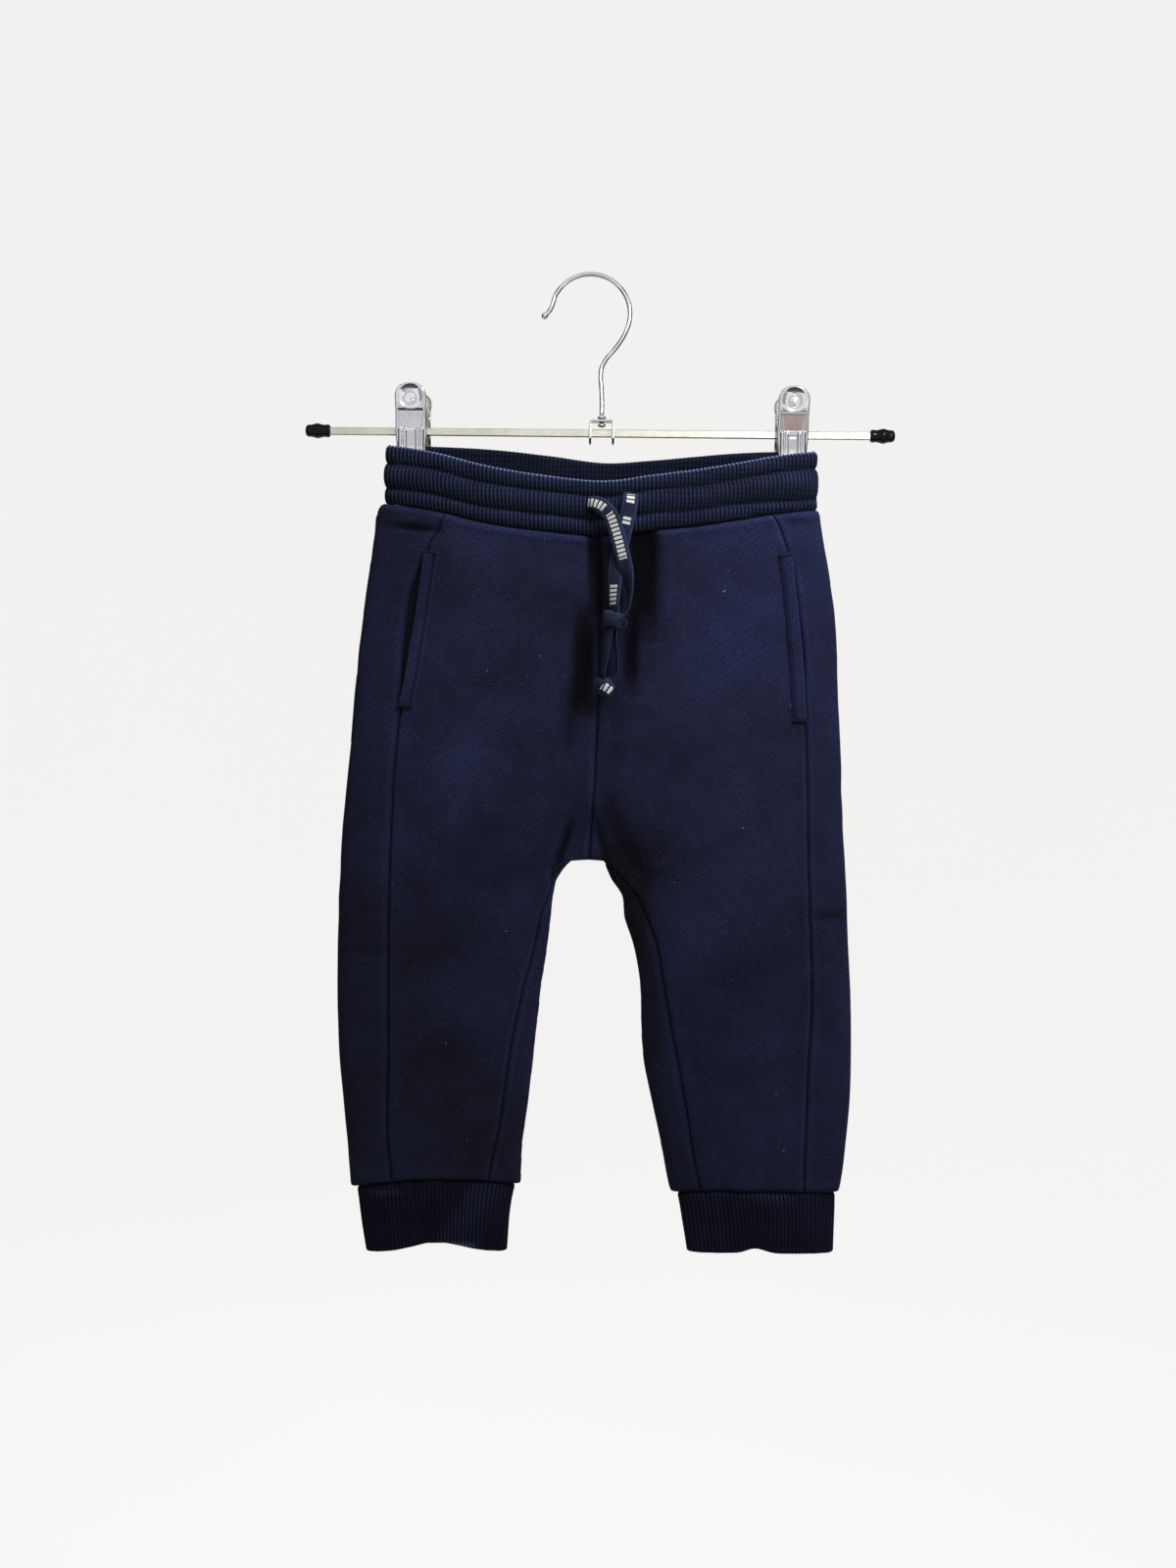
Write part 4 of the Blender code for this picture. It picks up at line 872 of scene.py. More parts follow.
@dataclass
class Finishes:
    """The materials, each made once."""

    fleece: Material = once(BrushedFleece())
    # darker than the fleece: painted shade in the pocket's mouth
    facing: Material = once(BrushedFleece("pocket_facing_fleece_shaded", "#08070f", "#1a182a", "#2c2a40"))
    rib: Material = once(RibKnit())
    # a darker copy of the rib: painted shade on the cuffs
    cuff: Material = once(RibKnit("cotton_rib_knit_shaded", "#05050b", "#20213f"))
    thread: Material = once(SpunThread())
    fray: Material = once(LooseLint("frayed_tape_fibre", "#4f5a7c", "#1f2640"))
    lint: Material = once(LooseLint())
    tape_left: Material = once(WovenTape("woven_tape_left", bars=((0.6, 10.6), (14.5, 40.0))))
    tape_right: Material = once(WovenTape("woven_tape_right", bars=((1.2, 6.5), (13.0, 18.0), (50.0, 61.5))))
    tape: Material = once(WovenTape())
    tape_knot: Material = once(WovenTape("woven_tape_knot", bars=((9.6, 15.4),)))
    chrome: Material = once(PlatedMetal("chromed_steel", "#f1f2f3", "#dedfe1", 0.06, 0.13))
    inside: Material = once(PlatedMetal("thinly_plated_steel", "#f4efe4", "#dcd6c8", 0.34, 0.5))
    # its feet are painted shadow black
    strip: Material = once(
        PlatedMetal("chromed_strip", "#f1f2f3", "#d0d1d3", 0.05, 0.12, painted_shadow_under=2.7)
    )
    # its undersides take a dark painted shade
    nickel: Material = once(
        PlatedMetal("satin_nickel_plate", "#dad7ca", "#c6c3b5", 0.28, 0.42, (30.0, 1.0, 0.35), 0.02,
                    "#4a4942", painted_shadow_under=9.0)
    )
    gloss: Material = once(MouldedGloss())


# ---- cloth ----
class Level:
    """One level round half the garment, from its inner end at the front, round the outer fold, to its inner
    end at the back, with the wall's outer and inner points side by side."""

    SAMPLES = 160
    HOLLOW = (196, 38)  # drop where the hollow above the crotch starts, and how far below it is deepest
    EDGES_CLOSE_OVER = 5.0  # how far below the crotch a leg's tube has closed round its inside
    OVER_SEAM = 0.12  # how far each half runs past the middle of the centre seam
    HEM_DIPS = (350, 50)  # drop where the levels start to follow the hem's dips, and how far on they do fully
    # drop at the outer fold, and drop at the inner end of the same level
    ACROSS = (
        (40, 40), (200, 200), (221, 220), (PARTING, 230.7), (PARTED, CROTCH), (241, 236), (246, 241),
        (254, 254), (420, 420),
    )
    # drop, and how far the section has closed from half a wide tube to a leg's own
    CLOSING = Curve((
        (130, 0.0), (150, 0.06), (168, 0.15), (200, 0.45), (221, 0.8), (232, 0.97), (240, 1.0), (260, 1.0),
    ))

    def __init__(self, side: Side, drop: float) -> None:
        """Lays out the level.

        Args:
            side: which half.
            drop: the level's drop at the outer fold, before the waist's droop.
        """
        self.side, self.drop = side, drop
        self.leg = drop > PARTED
        self.parted = float(np.clip((drop - PARTING) / (PARTED - PARTING), 0, 1))
        start, over = self.HOLLOW
        hollow = max(float(ease((drop - start) / over)) - self.parted, 0.0)
        self.pinch = abs(float(INNER_FOLDS.at(side, CROTCH)) - float(CENTRE_SEAM.at(CROTCH))) * hollow
        self.across_in = float(np.interp(drop, *zip(*self.ACROSS)))
        self.closing = float(self.CLOSING.at(drop))
        self.apart = 1.0 - float(ease((drop - PARTED) / self.EDGES_CLOSE_OVER))  # of its front and back edges
        turn = np.linspace(0, math.pi, self.SAMPLES + 1)
        share = 0.5 * (1 + np.cos(turn))
        self.share = np.concatenate([share, share[::-1][1:]])
        self.front = np.arange(len(self.share)) <= self.SAMPLES
        self.outer, self.inner = self.line(0.0), self.line(FLEECE)
        self.along = lengths(self.outer)
        self.fold, self.total = self.along[self.SAMPLES], self.along[-1]

    def inner_end(self) -> float:
        """x where the level ends inside: the centre seam, the crotch's arch or the leg's inner fold."""
        centre = float(CENTRE_SEAM.at(self.across_in)) - self.side.sign * self.OVER_SEAM
        fold = float(INNER_FOLDS.at(self.side, max(self.across_in, CROTCH)))
        return centre + (fold - centre) * self.parted

    def line(self, wall: float) -> Array:
        """The level's points, moved in from the outside by wall."""
        sign = self.side.sign
        middle, front, back, front_power, back_power = (float(v) for v in depth(self.drop))
        x_out = float(SIDE_FOLDS.at(self.side, self.drop)) - sign * wall
        x_in = self.inner_end() + sign * wall * (1 - self.apart)
        x = x_out + (x_in - x_out) * self.share
        reach = 1.0 - 0.5 * self.closing
        least = max(FLEECE + 0.1 - wall, 0.0) * self.apart
        inward = np.clip(1 - self.share - self.pinch / abs(x_out - x_in), 0, 1)
        y = np.zeros(len(x))
        for is_front, deep, power, way in ((True, front, front_power, -1.0), (False, back, back_power, 1.0)):
            full = rounding(self.share, reach, power)
            full = full * (1 - self.closing + self.closing * rounding(inward, 0.5, power))
            half = np.maximum((deep - wall) * full, least * ease(self.share / 0.3))
            y = np.where(self.front == is_front, middle + way * half, y)
        return np.stack([x, y, self.drops(x)], axis=1)

    def drops(self, x: Array) -> Array:
        """The drop along the level: its own, the waist's droop, and the hem's dips."""
        drop = self.drop + (self.across_in - self.drop) * self.share**4
        fade = 1 - ease((self.drop - SEAM_AT_SIDE) / (DROOP_FADES_BY - SEAM_AT_SIDE))
        droop = waist_top(x, self.front) + BAND_HEIGHT - SEAM_AT_SIDE
        start, over = self.HEM_DIPS
        return drop + fade * droop + ease((self.drop - start) / over) * HEMS[self.side].dip(self.share)

    def drop_at(self, place: float) -> float:
        """The drop at a place along the level."""
        return np.interp(place, self.along, self.outer[:, 2])

    def place_of(self, seam: Pair, front: bool = True) -> float | None:
        """How far along the level a seam crosses its front or its back."""
        off = self.outer[:, 0] - seam.at(self.side, self.outer[:, 2])
        pick = np.flatnonzero(self.front if front else ~self.front)
        change = pick[:-1][off[pick[:-1]] * off[pick[:-1] + 1] <= 0]
        if not len(change):
            return None
        i = change[0] if front else change[-1]
        t = off[i] / (off[i] - off[i + 1]) if off[i] != off[i + 1] else 0.0
        return self.along[i] + t * (self.along[i + 1] - self.along[i])

    def inner_edge(self) -> float:
        """Where the front panel's inner edge is: the level's end, or the inner-leg seam."""
        return (self.place_of(INNER_SEAM_FRONT) or 0.0) if self.leg else 0.0

    def side_edge(self) -> float:
        """Where the front panel's outer edge is: the pocket's mouth, or the side seam."""
        seam, mouth = self.place_of(SIDE_SEAM_FRONT), self.place_of(POCKET_MOUTH)
        if mouth is None:
            return seam
        (top, *_), (low, *_) = POCKET_MOUTH.rows[0], POCKET_MOUTH.rows[-1]
        return min(seam, mouth) if top < self.drop_at(mouth) < low else seam

    def points(self, places: Array) -> tuple[Array, Array, Array]:
        """Outer and inner points at places along the level, and which are on the front.

        Args:
            places: millimetres along the level, which may run on past its end round the inner fold.

        Returns:
            Outer points, inner points, and a flag for each.
        """
        on = np.where(places > self.total, places - self.total, places)
        outer = np.stack([np.interp(on, self.along, self.outer[:, k]) for k in range(3)], axis=1)
        inner = np.stack([np.interp(on, self.along, self.inner[:, k]) for k in range(3)], axis=1)
        return outer, inner, on <= self.fold


@dataclass
class Panels:
    """The fleece panels of one half: front, side and back, with soft creases and rolled seam edges."""

    side: Side
    finishes: Finishes
    step: float = 1.4
    near_crotch: Span = (228, 248)  # the drops between which the levels lie closer
    close_step: float = 0.8
    parting: tuple = (PARTING, 233.4, 234.9, 236.4, 237.0)
    roll: float = 1.3
    levels: list[Level] = field(default_factory=list)
    skins: dict[str, Array] = field(default_factory=dict)
    # each flat cut's width, length and area, and its columns between its rolled edges
    cuts: dict[str, tuple] = field(default_factory=lambda: {
        "front": (115.0, 366.0, 35000.0, 78),
        "side": (56.0, 366.0, 18500.0, 40),
        "back": (122.0, 366.0, 38500.0, 82),
    })

    def __post_init__(self) -> None:
        """Lays out the levels, closer together at the edges and at the crotch."""
        hem, top = HEMS[self.side].middle, SEAM_AT_SIDE + 0.3
        start, end = self.near_crotch
        body = np.arange(top + self.roll, start, self.step)
        above = np.arange(start, PARTING, self.close_step)
        below = np.arange(self.parting[-1] + self.close_step, end, self.close_step)
        leg = np.arange(end, hem - self.roll, self.step)
        parts = (top + self.edge, body, above, self.parting, below, leg, hem - self.edge[::-1])
        self.levels = [Level(self.side, float(drop)) for drop in np.concatenate(parts)]

    @property
    def seed(self) -> int:
        """Which unevenness this half's cloth has."""
        return Both(11, 23).on(self.side)

    @property
    def edge(self) -> Array:
        """Places over a rolled edge, from its end in."""
        return self.roll * (1 - np.cos(np.radians([0, 30, 60])))

    def along_edges(self, start: float, end: float, count: int) -> Array:
        """Places across a panel, closer together at its two edges."""
        middle = np.linspace(start + self.roll, end - self.roll, count)
        return np.concatenate([start + self.edge, middle, end - self.edge[::-1]])

    def span(self, level: Level, part: str) -> Span:
        """Where a panel starts and ends along a level."""
        if part == "front":
            return level.inner_edge(), level.side_edge()
        if part == "side":
            return level.place_of(SIDE_SEAM_FRONT), level.place_of(SIDE_SEAM_BACK, False)
        return level.place_of(SIDE_SEAM_BACK, False), level.total + level.inner_edge()

    def creased(self, grid: Array, front: Array) -> Array:
        """How far the creases sink each point."""
        x, drop = grid[..., 0], grid[..., 2]
        sink = np.zeros(x.shape)
        for creases, here in ((FRONT_CREASES, front), (BACK_CREASES, ~front)):
            for crease in creases:
                sink += np.where(here, crease.sink(x, drop), 0.0)
        return sink

    def relief(self, grid: Array, front: Array) -> Array:
        """How far the cloth sinks at each point: creases, gathers above the cuff and unevenness."""
        x, drop = grid[..., 0], grid[..., 2]
        at = x + np.where(front, 0.0, 400.0) + 900  # each face has its own stretch of every ripple
        sink = self.creased(grid, front)
        sink += 0.45 * Ripple(self.seed, 34).at(at, drop * 0.8)
        sink += 0.20 * Ripple(self.seed + 1, 12).at(at, drop)
        near_hem = np.exp(-(HEMS[self.side].middle - drop) / 13.0)
        sink += 0.9 * near_hem * Ripple(self.seed + 2, 8.0).at(at, drop * 0.15)
        near_waist = np.exp(-np.maximum(drop - 42 - 12 * (np.abs(x) < 90), 0) / 9.0)
        return sink + 0.45 * near_waist * Ripple(self.seed + 3, 6.0).at(at, drop * 0.2)

    def wear_and_shade(self, grid: Array, front: Array, edge: Array, ends: Array) -> Marks:
        """How light the cloth is at each point, from faded nap and painted light, and how much painted shade
        darkens it in seams and folds.

        Args:
            grid: the panel's points.
            front: which are on the garment's front.
            edge: how far each is from a seam beside it.
            ends: how far each is from the waist seam or the hem.

        Returns:
            The two marks, faded and seam.
        """
        x, drop = grid[..., 0], grid[..., 2]
        faded, folded = np.full(x.shape, 0.52), self.creased(grid, front)
        for rubs, here in ((FRONT_RUBS_AND_LIGHT, front), (BACK_RUBS, ~front)):
            for rub in rubs:
                faded += np.where(here, rub.at(x, drop), 0.0)
        # painted highlights: a narrow band beside each seam, and along the top edge under the waistband
        faded += 0.24 * hill(edge, 2.2, 0.9) + 0.30 * hill(ends, 1.8, 1.3) * (drop < 90)
        # painted shade: darker right at the seams and deep in the creases
        deep = np.sqrt(0.9 * np.clip(folded / 2.8, 0, 1))
        seam = np.maximum(np.exp(-np.minimum(edge, ends) / 0.9), deep)
        return {"faded": faded - 0.16 * np.clip(folded, 0, 3), "seam": seam}

    def panel(self, part: str) -> Object:
        """Builds one panel: front, side or back."""
        width, length, area, count = self.cuts[part]
        outer, inner, front, edges = [], [], [], []
        for level in self.levels:
            start, end = self.span(level, part)
            places = self.along_edges(start, end, count)
            skin, wall, on_front = level.points(places)
            outer.append(skin)
            inner.append(wall)
            front.append(on_front)
            edges.append(np.minimum(places - start, end - places))
        outer, inner, front, edge = np.array(outer), np.array(inner), np.array(front), np.array(edges)
        drops = np.array([level.drop for level in self.levels])
        ends = np.minimum(drops - drops[0], drops[-1] - drops)[:, None]
        out = unit(outer - inner)
        sink = self.relief(outer, front)
        pucker = 0.22 * np.exp(-edge / 3.5) * (1 + Ripple(7, 3.2).at(outer[..., 2] + 300, edge * 0 + 5))
        near = np.minimum(np.clip(edge / self.roll, 0, 1), np.clip(ends / self.roll, 0, 1))
        tuck = self.roll * (1 - np.sqrt(np.clip(1 - (1 - near) ** 2, 0, 1)))
        # the front's side edges and every panel's top edge stand up where the seams' turnings lie under them
        turned = 0.45 * hill(edge, 3.6, 2.2) * (part == "front")
        sink = sink - turned - 0.4 * hill((drops - drops[0])[:, None], 3.0, 2.0)
        skin = outer - out * (sink + pucker + tuck)[..., None]
        wall = outer - out * np.maximum(sink + 1.7, tuck + sink + 0.3)[..., None]
        self.skins[part] = skin
        name = f"{part}_{self.side.value}"
        marks = self.wear_and_shade(outer, front, edge, ends + 0 * edge)
        made = shell(f"{name}_cloth", skin, wall, self.finishes.fleece, marks)
        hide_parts(name)
        return made

    def build(self) -> Pieces:
        """Builds the three panels."""
        return [self.panel(part) for part in self.cuts]


@dataclass
class Pocket:
    """A slanted welt pocket: its welt, the facing behind the mouth, and its sewing."""

    panels: Panels
    finishes: Finishes
    width: float = 7.0
    rise: float = 2.0
    # share across the welt from the mouth, and how high it stands there, as a share of its rise
    section: tuple = (
        (0, 0.1), (0.015, 0.5), (0.05, 0.85), (0.1, 1.0), (0.3, 1.06), (0.6, 0.98), (0.82, 0.82),
        (0.855, 0.5), (0.9, 0.78), (0.96, 0.6), (1.0, 0.05),
    )
    stitched: float = 0.865  # the share at which it is stitched down
    ends: Both = Both((65.5, 150.0), (64.5, 156.0))  # the drops at which the welt starts and ends
    rows: int = 72
    facing_span: Span = (66.0, 152.0)
    facing_rows: int = 60
    facing_columns: int = 16
    stitch: float = 3.1
    tack: int = 22  # stitches in a bar tack

    @property
    def side(self) -> Side:
        """The pocket's half."""
        return self.panels.side

    def levels(self, low: float, high: float, count: int) -> list[Level]:
        """Levels that cross the mouth at even drops from low to high."""
        found = []
        for level in self.panels.levels:
            mouth = level.place_of(POCKET_MOUTH) if level.drop < 160 else None
            if mouth is not None:
                found.append((level.drop_at(mouth), level.drop))
        drops = np.interp(np.linspace(low, high, count), *zip(*found))
        return [Level(self.side, float(drop)) for drop in drops]

    def sink(self, skin: Array) -> Array:
        """How far the front under the pocket sinks at each point, as a column."""
        return self.panels.relief(skin, np.ones(len(skin), bool))[:, None]

    def welt(self) -> Object:
        """The folded band along the mouth, its inner edge stitched down."""
        low, high = self.ends.on(self.side)
        shares = np.concatenate([
            [0, 0.015, 0.05, 0.1], np.linspace(0.17, 0.78, 9), [0.82, 0.85, 0.88, 0.92, 0.965, 0.99, 1.0],
        ])
        lift = np.interp(shares, *zip(*self.section))
        skins, walls, seams = [], [], []
        for at, level in enumerate(self.levels(low, high, self.rows)):
            skin, wall, _ = level.points(level.place_of(POCKET_MOUTH) + 0.35 - shares * self.width)
            out, sink = unit(skin - wall), self.sink(skin)
            end = min(at, self.rows - 1 - at) / 2.5
            full = math.sqrt(max(0.0, 1 - max(0.0, 1 - end) ** 2)) * 0.85 + 0.15
            wave = 0.12 * Ripple(31, 5.0).at(skin[:, 2], shares * 3)
            skins.append(skin + out * ((lift * full * self.rise + wave)[:, None] - sink))
            walls.append(skin + out * (-0.3 - sink))
            seams.append(skin[-3] + out[-3] * (0.62 * self.rise * full - sink[-3]))
        name = f"pocket_welt_{self.side.value}"
        rows = np.arange(self.rows)
        ends = np.minimum(rows, self.rows - 1 - rows)[:, None] * 1.2
        # painted shade darkens the stitched groove and the welt's ends; painted light makes the welt lighter,
        # most along its mouth's edge
        seam = np.exp(-np.minimum(np.abs(shares - self.stitched) * self.width, ends) / 0.7)
        marks = {"seam": seam, "faded": 0.66 + 0.22 * hill(shares, 0.12, 0.10) + 0 * ends}
        made = shell(f"{name}_cloth", np.array(skins), np.array(walls), self.finishes.fleece, marks)
        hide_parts(name)
        f"front_{self.side.value}"
        self.sew(np.array(seams), high)
        return made

    def sew(self, seam: Array, low_end: float) -> None:
        """The stitched line along the welt, and the bar tacks across its two ends."""
        name = f"pocket_{self.side.value}"
        total = np.linalg.norm(seam[-1] - seam[0])
        at = np.linspace(0.02, 0.98, int(total / self.stitch)) * (len(seam) - 1)
        middles = np.stack([np.interp(at, np.arange(len(seam)), seam[:, k]) for k in range(3)], axis=1)
        ways = np.gradient(middles, axis=0)
        outs = np.tile((0.0, -1.0, 0.0), (len(at), 1))
        stitches(f"{name}_stitching", middles, ways, outs, 2.3, 0.34, self.finishes.thread)
        slant = np.where(np.arange(self.tack) % 2, 0.12, -0.12)
        ways = np.stack([slant, 0 * slant, np.ones(self.tack)], axis=1)
        for where, drop in (("upper", 66.4), ("lower", low_end - 1.2)):
            level = self.levels(drop, drop, 1)[0]
            mouth = level.place_of(POCKET_MOUTH)
            skin, wall, _ = level.points(mouth + 0.2 - np.linspace(0, self.width + 0.4, self.tack))
            out = unit(skin - wall)
            middles = skin + out * (self.rise * 0.9 - self.sink(skin))
            stitches(f"{name}_tack_{where}", middles, ways, out, 1.9, 0.46, self.finishes.thread)

    def facing(self) -> Object:
        """The strip that shows in the mouth, sloping down from the side seam under the welt."""
        skins, walls, shares = [], [], np.linspace(0, 1, self.facing_columns)
        for level in self.levels(*self.facing_span, self.facing_rows):
            start, end = level.place_of(POCKET_MOUTH) - 2.6, level.place_of(SIDE_SEAM_FRONT) + 2.0
            skin, wall, _ = level.points(start + shares * (end - start))
            out = unit(skin - wall)
            sink = (3.4 - 1.2 * shares - 0.5 * np.sin(shares * np.pi))[:, None]
            skins.append(skin - out * sink)
            walls.append(skin - out * (sink + 0.9))
        name = f"pocket_facing_{self.side.value}"
        # darker towards the mouth, deep under the welt: painted shade
        marks = {"faded": np.tile(0.5 + 0.35 * shares, (self.facing_rows, 1))}
        made = shell(f"{name}_cloth", np.array(skins), np.array(walls), self.finishes.facing, marks)
        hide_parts(name)
        f"side_{self.side.value}"
        return made

    def build(self) -> Pieces:
        """Builds the pocket."""
        return [self.welt(), self.facing()]


@dataclass
class RibbedRing:
    """A ring of rib knit: an oval of upright ribs, folded round at its free edge."""

    finishes: Finishes
    ribs: int
    wall: float
    relief: float
    per_rib: int = 6
    samples: int = 640  # points of the plain oval that the ribs are read from

    def oval(self, left: float, right: float, shape: Place, grow: float) -> Array:
        """A closed section of the hung tube, moved out by grow."""
        turn = turns(self.samples)
        on_front = turn < math.pi
        middle, front, back, front_power, back_power = shape
        power = np.where(on_front, front_power, back_power)
        across = np.cos(turn)
        full = (1 - np.abs(across) ** power) ** (1 / power)
        y = middle - np.where(on_front, front + grow, -(back + grow)) * full
        return np.stack([(left + right) / 2 - ((right - left) / 2 + grow) * across, y], axis=1)

    def index(self, loop: Array) -> Array:
        """Fractional places round a closed loop at even distances, a few for each rib."""
        closed = np.vstack([loop, loop[:1]])
        along = lengths(closed)
        even = np.linspace(0, along[-1], self.ribs * self.per_rib, endpoint=False)
        return np.interp(even, along, np.arange(len(closed)))

    def front(self, index: Array) -> Array:
        """Which places round a loop are on its front half."""
        return (index > 0) & (index < self.samples / 2)

    def read(self, loop: Array, index: Array) -> tuple[Array, Array]:
        """Points of a closed loop at fractional places, and the way out of it."""
        closed = np.vstack([loop, loop[:1]])
        on, places = index % len(loop), np.arange(len(closed))
        flat = np.stack([np.interp(on, places, closed[:, k]) for k in range(2)], axis=1)
        run = np.roll(flat, -2, axis=0) - np.roll(flat, 2, axis=0)
        out = unit(np.stack([run[:, 1], -run[:, 0]], axis=1))
        if ((flat - flat.mean(axis=0)) * out).sum() < 0:
            out = -out
        return flat, out

    def crest(self) -> Array:
        """1 on each rib's crest and 0 in the valley beside it."""
        wave = 0.5 + 0.5 * np.cos(2 * np.pi * np.arange(self.ribs * self.per_rib) / self.per_rib)
        return wave**0.8


@dataclass
class Waistband(RibbedRing):
    """The waistband: rib knit over elastic, in three rolls between two stitched channels."""

    ribs: int = 220
    wall: float = 2.9
    relief: float = 0.72
    half_width: float = 115.7
    round_it: float = 464.0  # millimetres round the band
    stitch: float = 3.3
    channels: Span = (0.30, 0.72)
    roll_heights: tuple[float, float, float] = (1.2, 2.0, 1.4)
    sunk: float = -0.85  # how far the channels lie behind the band's own section
    sag: float = 1.9  # of the front's top edge
    wander: float = 3.4  # of the front's lower channel, to the right

    def roll(self, share: float) -> Span:
        """Where a share of the height is on its roll, from -1 to 1, and that roll's height."""
        edges = (0.0, *self.channels, 1.0)
        rolls = zip(edges, edges[1:], self.roll_heights)
        low, high, height = next(roll for roll in rolls if share <= roll[1])
        return 2 * (share - low) / (high - low) - 1, height

    def bulge(self, share: float) -> float:
        """How far the band stands out at a share of its height: round between its channels."""
        place, height = self.roll(share)
        return self.sunk + height * (1 - abs(place) ** 2.4) ** 0.62

    def faded(self, share: float) -> float:
        """How light the ribs' crests are at a share of the band's height: painted light, lightest on top of
        each roll.
        """
        return 0.40 + 0.62 * hill(self.roll(share)[0], -0.4, 0.55)

    def section(self, share: float, grow: float) -> Array:
        """The band's plain oval at a share of its height, moved out by grow."""
        shape = [float(v) for v in depth(WAIST_TOP[0][1] + share * BAND_HEIGHT)]
        return self.oval(-self.half_width, self.half_width, shape, grow)

    def loop(self, share: float, grow: float, relief: float) -> tuple[Array, Array]:
        """One loop of the band's points and the way out at each.

        Args:
            share: its place down the band's height.
            grow: how far it stands outside the band's own section.
            relief: the ribs' height there.

        Returns:
            The loop's points, and the ways out.
        """
        index = self.index(self.section(0.5, 0.0))
        sway = 0.6 * Ripple(5, 26).at(index * 1.45 + 500, share * BAND_HEIGHT)
        flat, out = self.read(self.section(share, grow), index + sway)
        x, front = flat[:, 0], self.front(index)
        drop = waist_top(x, front) + share * BAND_HEIGHT
        drop += self.sag * (1 - share) * hill(x, 2, 70) * front
        drop += self.wander * ease((x - 60) / 50) * hill(share, self.channels[1], 0.2) * front
        inside = math.sin(math.pi * min(max(share, 0.0), 1.0))
        drop += 0.9 * Ripple(9, 24).at(x + 500, share * 16 + 300 * front) * inside
        along = index * 0.75 + 500
        soft = 0.28 * Ripple(6, 9).at(along, share * 20 + 40)
        soft += 0.45 * Ripple(8, 30).at(along, share * 30 + 40)
        push = relief * (self.crest() - 0.45) + soft * (relief != 0)
        if relief and grow > -0.9 and share > 0.04:  # the rolls flatten out to the right of the drawstring
            push -= 0.5 * (grow - 0.3) * ease((x - 8) / 30) * ease((92 - x) / 30) * front
        return np.column_stack([flat + out * push[:, None], drop]), np.column_stack([out, 0 * drop])

    def build(self) -> Pieces:
        """Builds the ring and its two stitched lines."""
        loops, crests, crest = [], [], self.crest() ** 1.7
        fold = self.wall / 2
        # the front layer's top fold gets a painted highlight; the back layer's inside is darker with painted
        # shade
        for angle in np.radians((170, 140, 115, 90, 65, 40, 18)):
            grow, wear_and_light = -fold + fold * math.cos(angle) - 0.25, max(0.0, math.sin(angle + 0.6)) ** 4
            loops.append(self.loop(fold / BAND_HEIGHT * (1 - math.sin(angle)), grow, self.relief * 0.75)[0])
            on_front = loops[-1][:, 1] < DEPTHS[0][1]
            crests.append(np.where(on_front, crest * (0.8 + 1.1 * wear_and_light) + 0.8 * wear_and_light, crest * 0.4))
        shares = [np.linspace(0.05, 0.28, 9), [0.295, 0.305], np.linspace(0.325, 0.70, 13), [0.715, 0.725]]
        for share in np.concatenate([*shares, np.linspace(0.745, 0.99, 10)]):
            pinch = min(abs(share - c) for c in self.channels)
            high = self.relief * (0.55 + 0.45 * min(1.0, pinch / 0.05))
            loops.append(self.loop(share, self.bulge(share), high)[0])
            # darker beside the channels: painted shade
            crests.append(crest * self.faded(share) * (0.5 + 0.5 * min(1.0, pinch / 0.04)))
        # the turned lower edge is darker: painted shade
        loops.append(self.loop(1.0, -1.6, 0.3)[0])
        crests.append(crest * 0.3)
        # the inside is darker, most low down: painted shade
        for share in (1.0, 0.8, 0.6, 0.4, 0.22, 0.1):
            loops.append(self.loop(share, -self.wall, self.relief * 0.6)[0])
            crests.append(crest * (0.14 if share < 0.3 else 0.05))
        made = ring("waistband_rib", loops, self.finishes.rib, {"crest": np.array(crests)})
        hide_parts("waistband")
        return [made, self.sew(self.channels[0], "upper"), self.sew(self.channels[1], "lower")]

    def sew(self, share: float, word: str) -> Object:
        """One stitched line round the band, sunk between two rolls."""
        line, out = self.loop(share, self.bulge(share) + 0.12, 0.0)
        count = int(self.round_it / self.stitch)
        at = np.round(np.linspace(0, len(line), count, endpoint=False)).astype(int)
        ways = np.roll(line, -3, axis=0)[at] - line[at]
        name, thread = f"waistband_stitching_{word}", self.finishes.thread
        return stitches(name, line[at], ways, out[at], 2.6, 0.4, thread)


